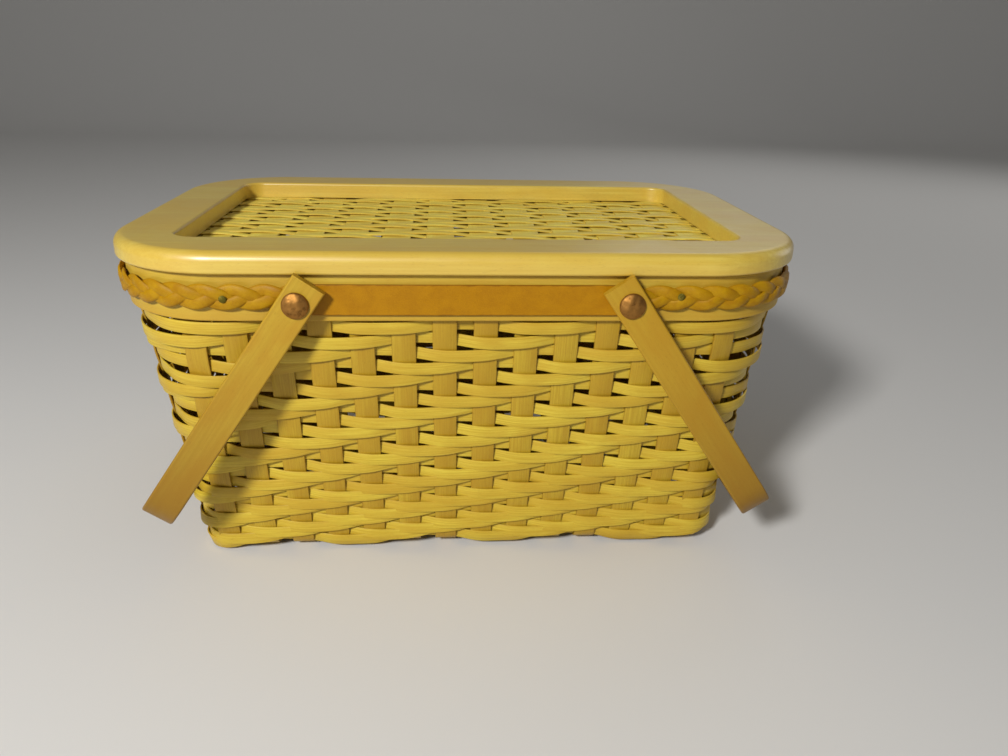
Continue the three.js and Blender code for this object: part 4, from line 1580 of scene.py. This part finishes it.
@dataclass
class LidPanel:
    """The woven panel: splints that run front to back, and weavers that run left to right.

    Its strips lie level where the frame covers their ends, and weave freely further in.
    """

    half_x: float
    half_y: float
    middle: float
    weavers: int = 32
    weaver_width: float = 5.45 * MM
    weaver_thickness: float = 0.7 * MM
    weaver_lean: float = 0.03
    weaver_steps: int = 110
    weaver_cut: Cut = Cut(0.0, 3.0, 0.33, 0.027)
    splints: int = 12
    splint_pitch: float = 24.6 * MM
    splint_width: float = 16 * MM
    splint_thickness: float = 0.8 * MM
    splint_steps: int = 90
    splint_cut: Cut = Cut(0.0, 5.0, 0.29, 0.051)
    ease: float = 0.2 * MM
    held_edge: float = 7 * MM
    free_after: float = 6 * MM
    held_reach: float = 0.75 * MM
    snug: float = 0.7 * MM
    wave: TwillWave = TwillWave(reach=1.4 * MM, sag=0.5 * MM, stake_give=0.1 * MM)

    @property
    def pitch(self) -> float:
        """From one weaver to the next."""
        return 2 * self.half_y / self.weavers

    def build(self) -> None:
        """Weaves the panel."""
        thin = FlatStrip(2 * self.half_x, self.weaver_width, self.weaver_thickness, self.ease,
                         self.weaver_steps)
        rows = [thin.mesh("row", self.weaver(row), self.weaver_cut.place(row)) for row in range(self.weavers)]
        wide = FlatStrip(2 * self.half_y, self.splint_width, self.splint_thickness, self.ease,
                         self.splint_steps)
        columns = [wide.mesh("column", self.splint(index), self.splint_cut.place(index))
                   for index in range(self.splints)]
        for name, strips in (("lid_panel_weavers", rows), ("lid_panel_splints", columns)):
            finished(joined(name, strips), "lid_woven_panel", "lid", LIGHTENED_PANEL_MAPLE)

    def free(self, place: Array, half: float) -> Array:
        """How freely a strip weaves, from 0 under the frame to 1 further in."""
        return np.clip((half - self.held_edge - np.abs(place)) / self.free_after, 0, 1)

    def weaver(self, row: int) -> Bend:
        """How one weaver bends.

        Args:
            row: Its number, from the back. The first and the last lie against the frame.

        Returns:
            The bend of its flat strip.
        """
        line = self.half_y - (row + 0.5) * self.pitch

        def bend(along: Array, across: Array, off: Array) -> Array:
            """Weaves the strip over and under the splints."""
            x = along - self.half_x
            out, forward = self.wave.at(x / self.splint_pitch + (self.splints - 1) / 2, row)
            free = self.free(x, self.half_x)
            out = np.clip(out, -self.held_reach, self.held_reach) * (1 - free) + out * free
            if row in (0, self.weavers - 1):
                out = np.clip(out, -self.held_reach, self.held_reach)
            if row == 0:
                forward = forward + self.snug
            y = np.clip(line - forward * free + across, -self.half_y, self.half_y)
            return np.column_stack([x, y, self.middle + out + off + self.weaver_lean * free * across])

        return bend

    def splint(self, index: int) -> Bend:
        """How one splint bends.

        Args:
            index: Its number, from the left.

        Returns:
            The bend of its flat strip.
        """
        line = (index - (self.splints - 1) / 2) * self.splint_pitch

        def bend(along: Array, across: Array, off: Array) -> Array:
            """Lets the strip give way to the weavers."""
            y = along - self.half_y
            row = (self.half_y - y) / self.pitch - 0.5
            height = self.middle + self.wave.stake(index, row) * self.free(y, self.half_y) + off
            return np.column_stack([line + across, y, height])

        return bend


# The studio


@dataclass
class Studio:
    """A plain pale floor and backdrop, soft lamps, and the camera."""

    floor_front: float = -3.0
    floor_half_width: float = 4.0
    backdrop_bend: float = 2.2
    backdrop_radius: float = 1.0
    backdrop_height: float = 3.5
    backdrop_steps: int = 16
    room_light: float = 0.13
    lamps_aim: Point = (0.0, 0.0, 90 * MM)
    camera_place: Point = (-10.6 * MM, -485.6 * MM, 267.8 * MM)
    yaw: float = 0.0806
    pitch: float = 0.3859
    roll: float = 0.0251
    focal_pixels: float = 800.5
    image_width: int = 1008
    sensor: float = 36.0
    nearest_seen: float = 10 * MM

    def build(self) -> None:
        """Sets up everything that isn't the basket."""
        self.floor()
        self.world()
        self.lamp("Key lamp", (-0.645, -1.117, 0.865), size=0.2, power=19.5)
        self.lamp("Side lamp", (2.0, 0.7, 0.5), size=0.9, power=3.2)
        self.lamp("Back lamp", (0.9, 1.5, 1.2), size=1.2, power=3.2)
        self.camera()

    def floor(self) -> None:
        """Sweeps the floor up into a backdrop."""
        bend, radius = self.backdrop_bend, self.backdrop_radius
        curve = [(bend + radius * math.sin(a), radius * (1 - math.cos(a)))
                 for a in np.linspace(0, QUARTER, self.backdrop_steps)]
        outline = [(self.floor_front, 0.0), *curve, (bend + radius, self.backdrop_height)]
        bm = bmesh.new()
        verts = [bm.verts.new((-self.floor_half_width, y, z)) for y, z in outline]
        edges = [bm.edges.new(pair) for pair in zip(verts, verts[1:])]
        swept = bmesh.ops.extrude_edge_only(bm, edges=edges)["geom"]
        moved = [g for g in swept if isinstance(g, bmesh.types.BMVert)]
        bmesh.ops.translate(bm, vec=(2 * self.floor_half_width, 0, 0), verts=moved)
        mesh = shaded(bm, "Floor")
        mesh.materials.append(FLOOR_PAPER.material())
        floor = bpy.data.objects.new("Floor", mesh)
        bpy.context.scene.collection.objects.link(floor)

    def world(self) -> None:
        """Lights the room evenly and softly."""
        world = bpy.data.worlds.new("Room")
        world.use_nodes = True
        tree = NodeTree(world.node_tree)
        light = {"Color": (255, 255, 255), "Strength": self.room_light}
        background = tree.add("ShaderNodeBackground", light)
        tree.add("ShaderNodeOutputWorld", {"Surface": background.outputs[0]})
        bpy.context.scene.world = world

    def lamp(self, name: str, place: Point, size: float, power: float) -> None:
        """Adds one soft lamp that points at the basket.

        Args:
            name: Its name.
            place: Where it stands.
            size: The side of its square face.
            power: Its power in watts.
        """
        light = bpy.data.lights.new(name, "AREA")
        light.size = size
        light.energy = power
        lamp = bpy.data.objects.new(name, light)
        lamp.location = place
        aim = Vector(self.lamps_aim) - Vector(place)
        lamp.rotation_euler = aim.to_track_quat("-Z", "Y").to_euler()
        bpy.context.scene.collection.objects.link(lamp)

    def camera(self) -> None:
        """Puts the camera where the photograph was taken from."""
        level = math.cos(self.pitch)
        ahead = Vector((math.sin(self.yaw) * level, math.cos(self.yaw) * level, -math.sin(self.pitch)))
        right = Vector((math.cos(self.yaw), -math.sin(self.yaw), 0))
        upright = Matrix((right, right.cross(ahead), -ahead)).transposed()
        lens = bpy.data.cameras.new("Camera")
        lens.sensor_width = self.sensor
        lens.lens = self.focal_pixels / self.image_width * self.sensor
        lens.clip_start = self.nearest_seen
        camera = bpy.data.objects.new("Camera", lens)
        turned = upright @ Matrix.Rotation(self.roll, 3, "Z")
        camera.matrix_world = Matrix.Translation(self.camera_place) @ turned.to_4x4()
        bpy.context.scene.collection.objects.link(camera)
        bpy.context.scene.camera = camera


def main() -> None:
    """Builds the studio and the basket."""
    logging.basicConfig(level=logging.INFO, format="%(name)s: %(message)s")
    shape = BasketShape()
    parts = [Studio(), Weave(WovenWalls(shape)), Rim(shape), LeatherTrim(shape), Handle(shape, -1),
             Handle(shape, 1), Rivets(shape), Lid(shape)]
    for part in parts:
        part.build()
    bpy.context.scene.view_settings.view_transform = "Standard"


if __name__ == "__main__":
    main()
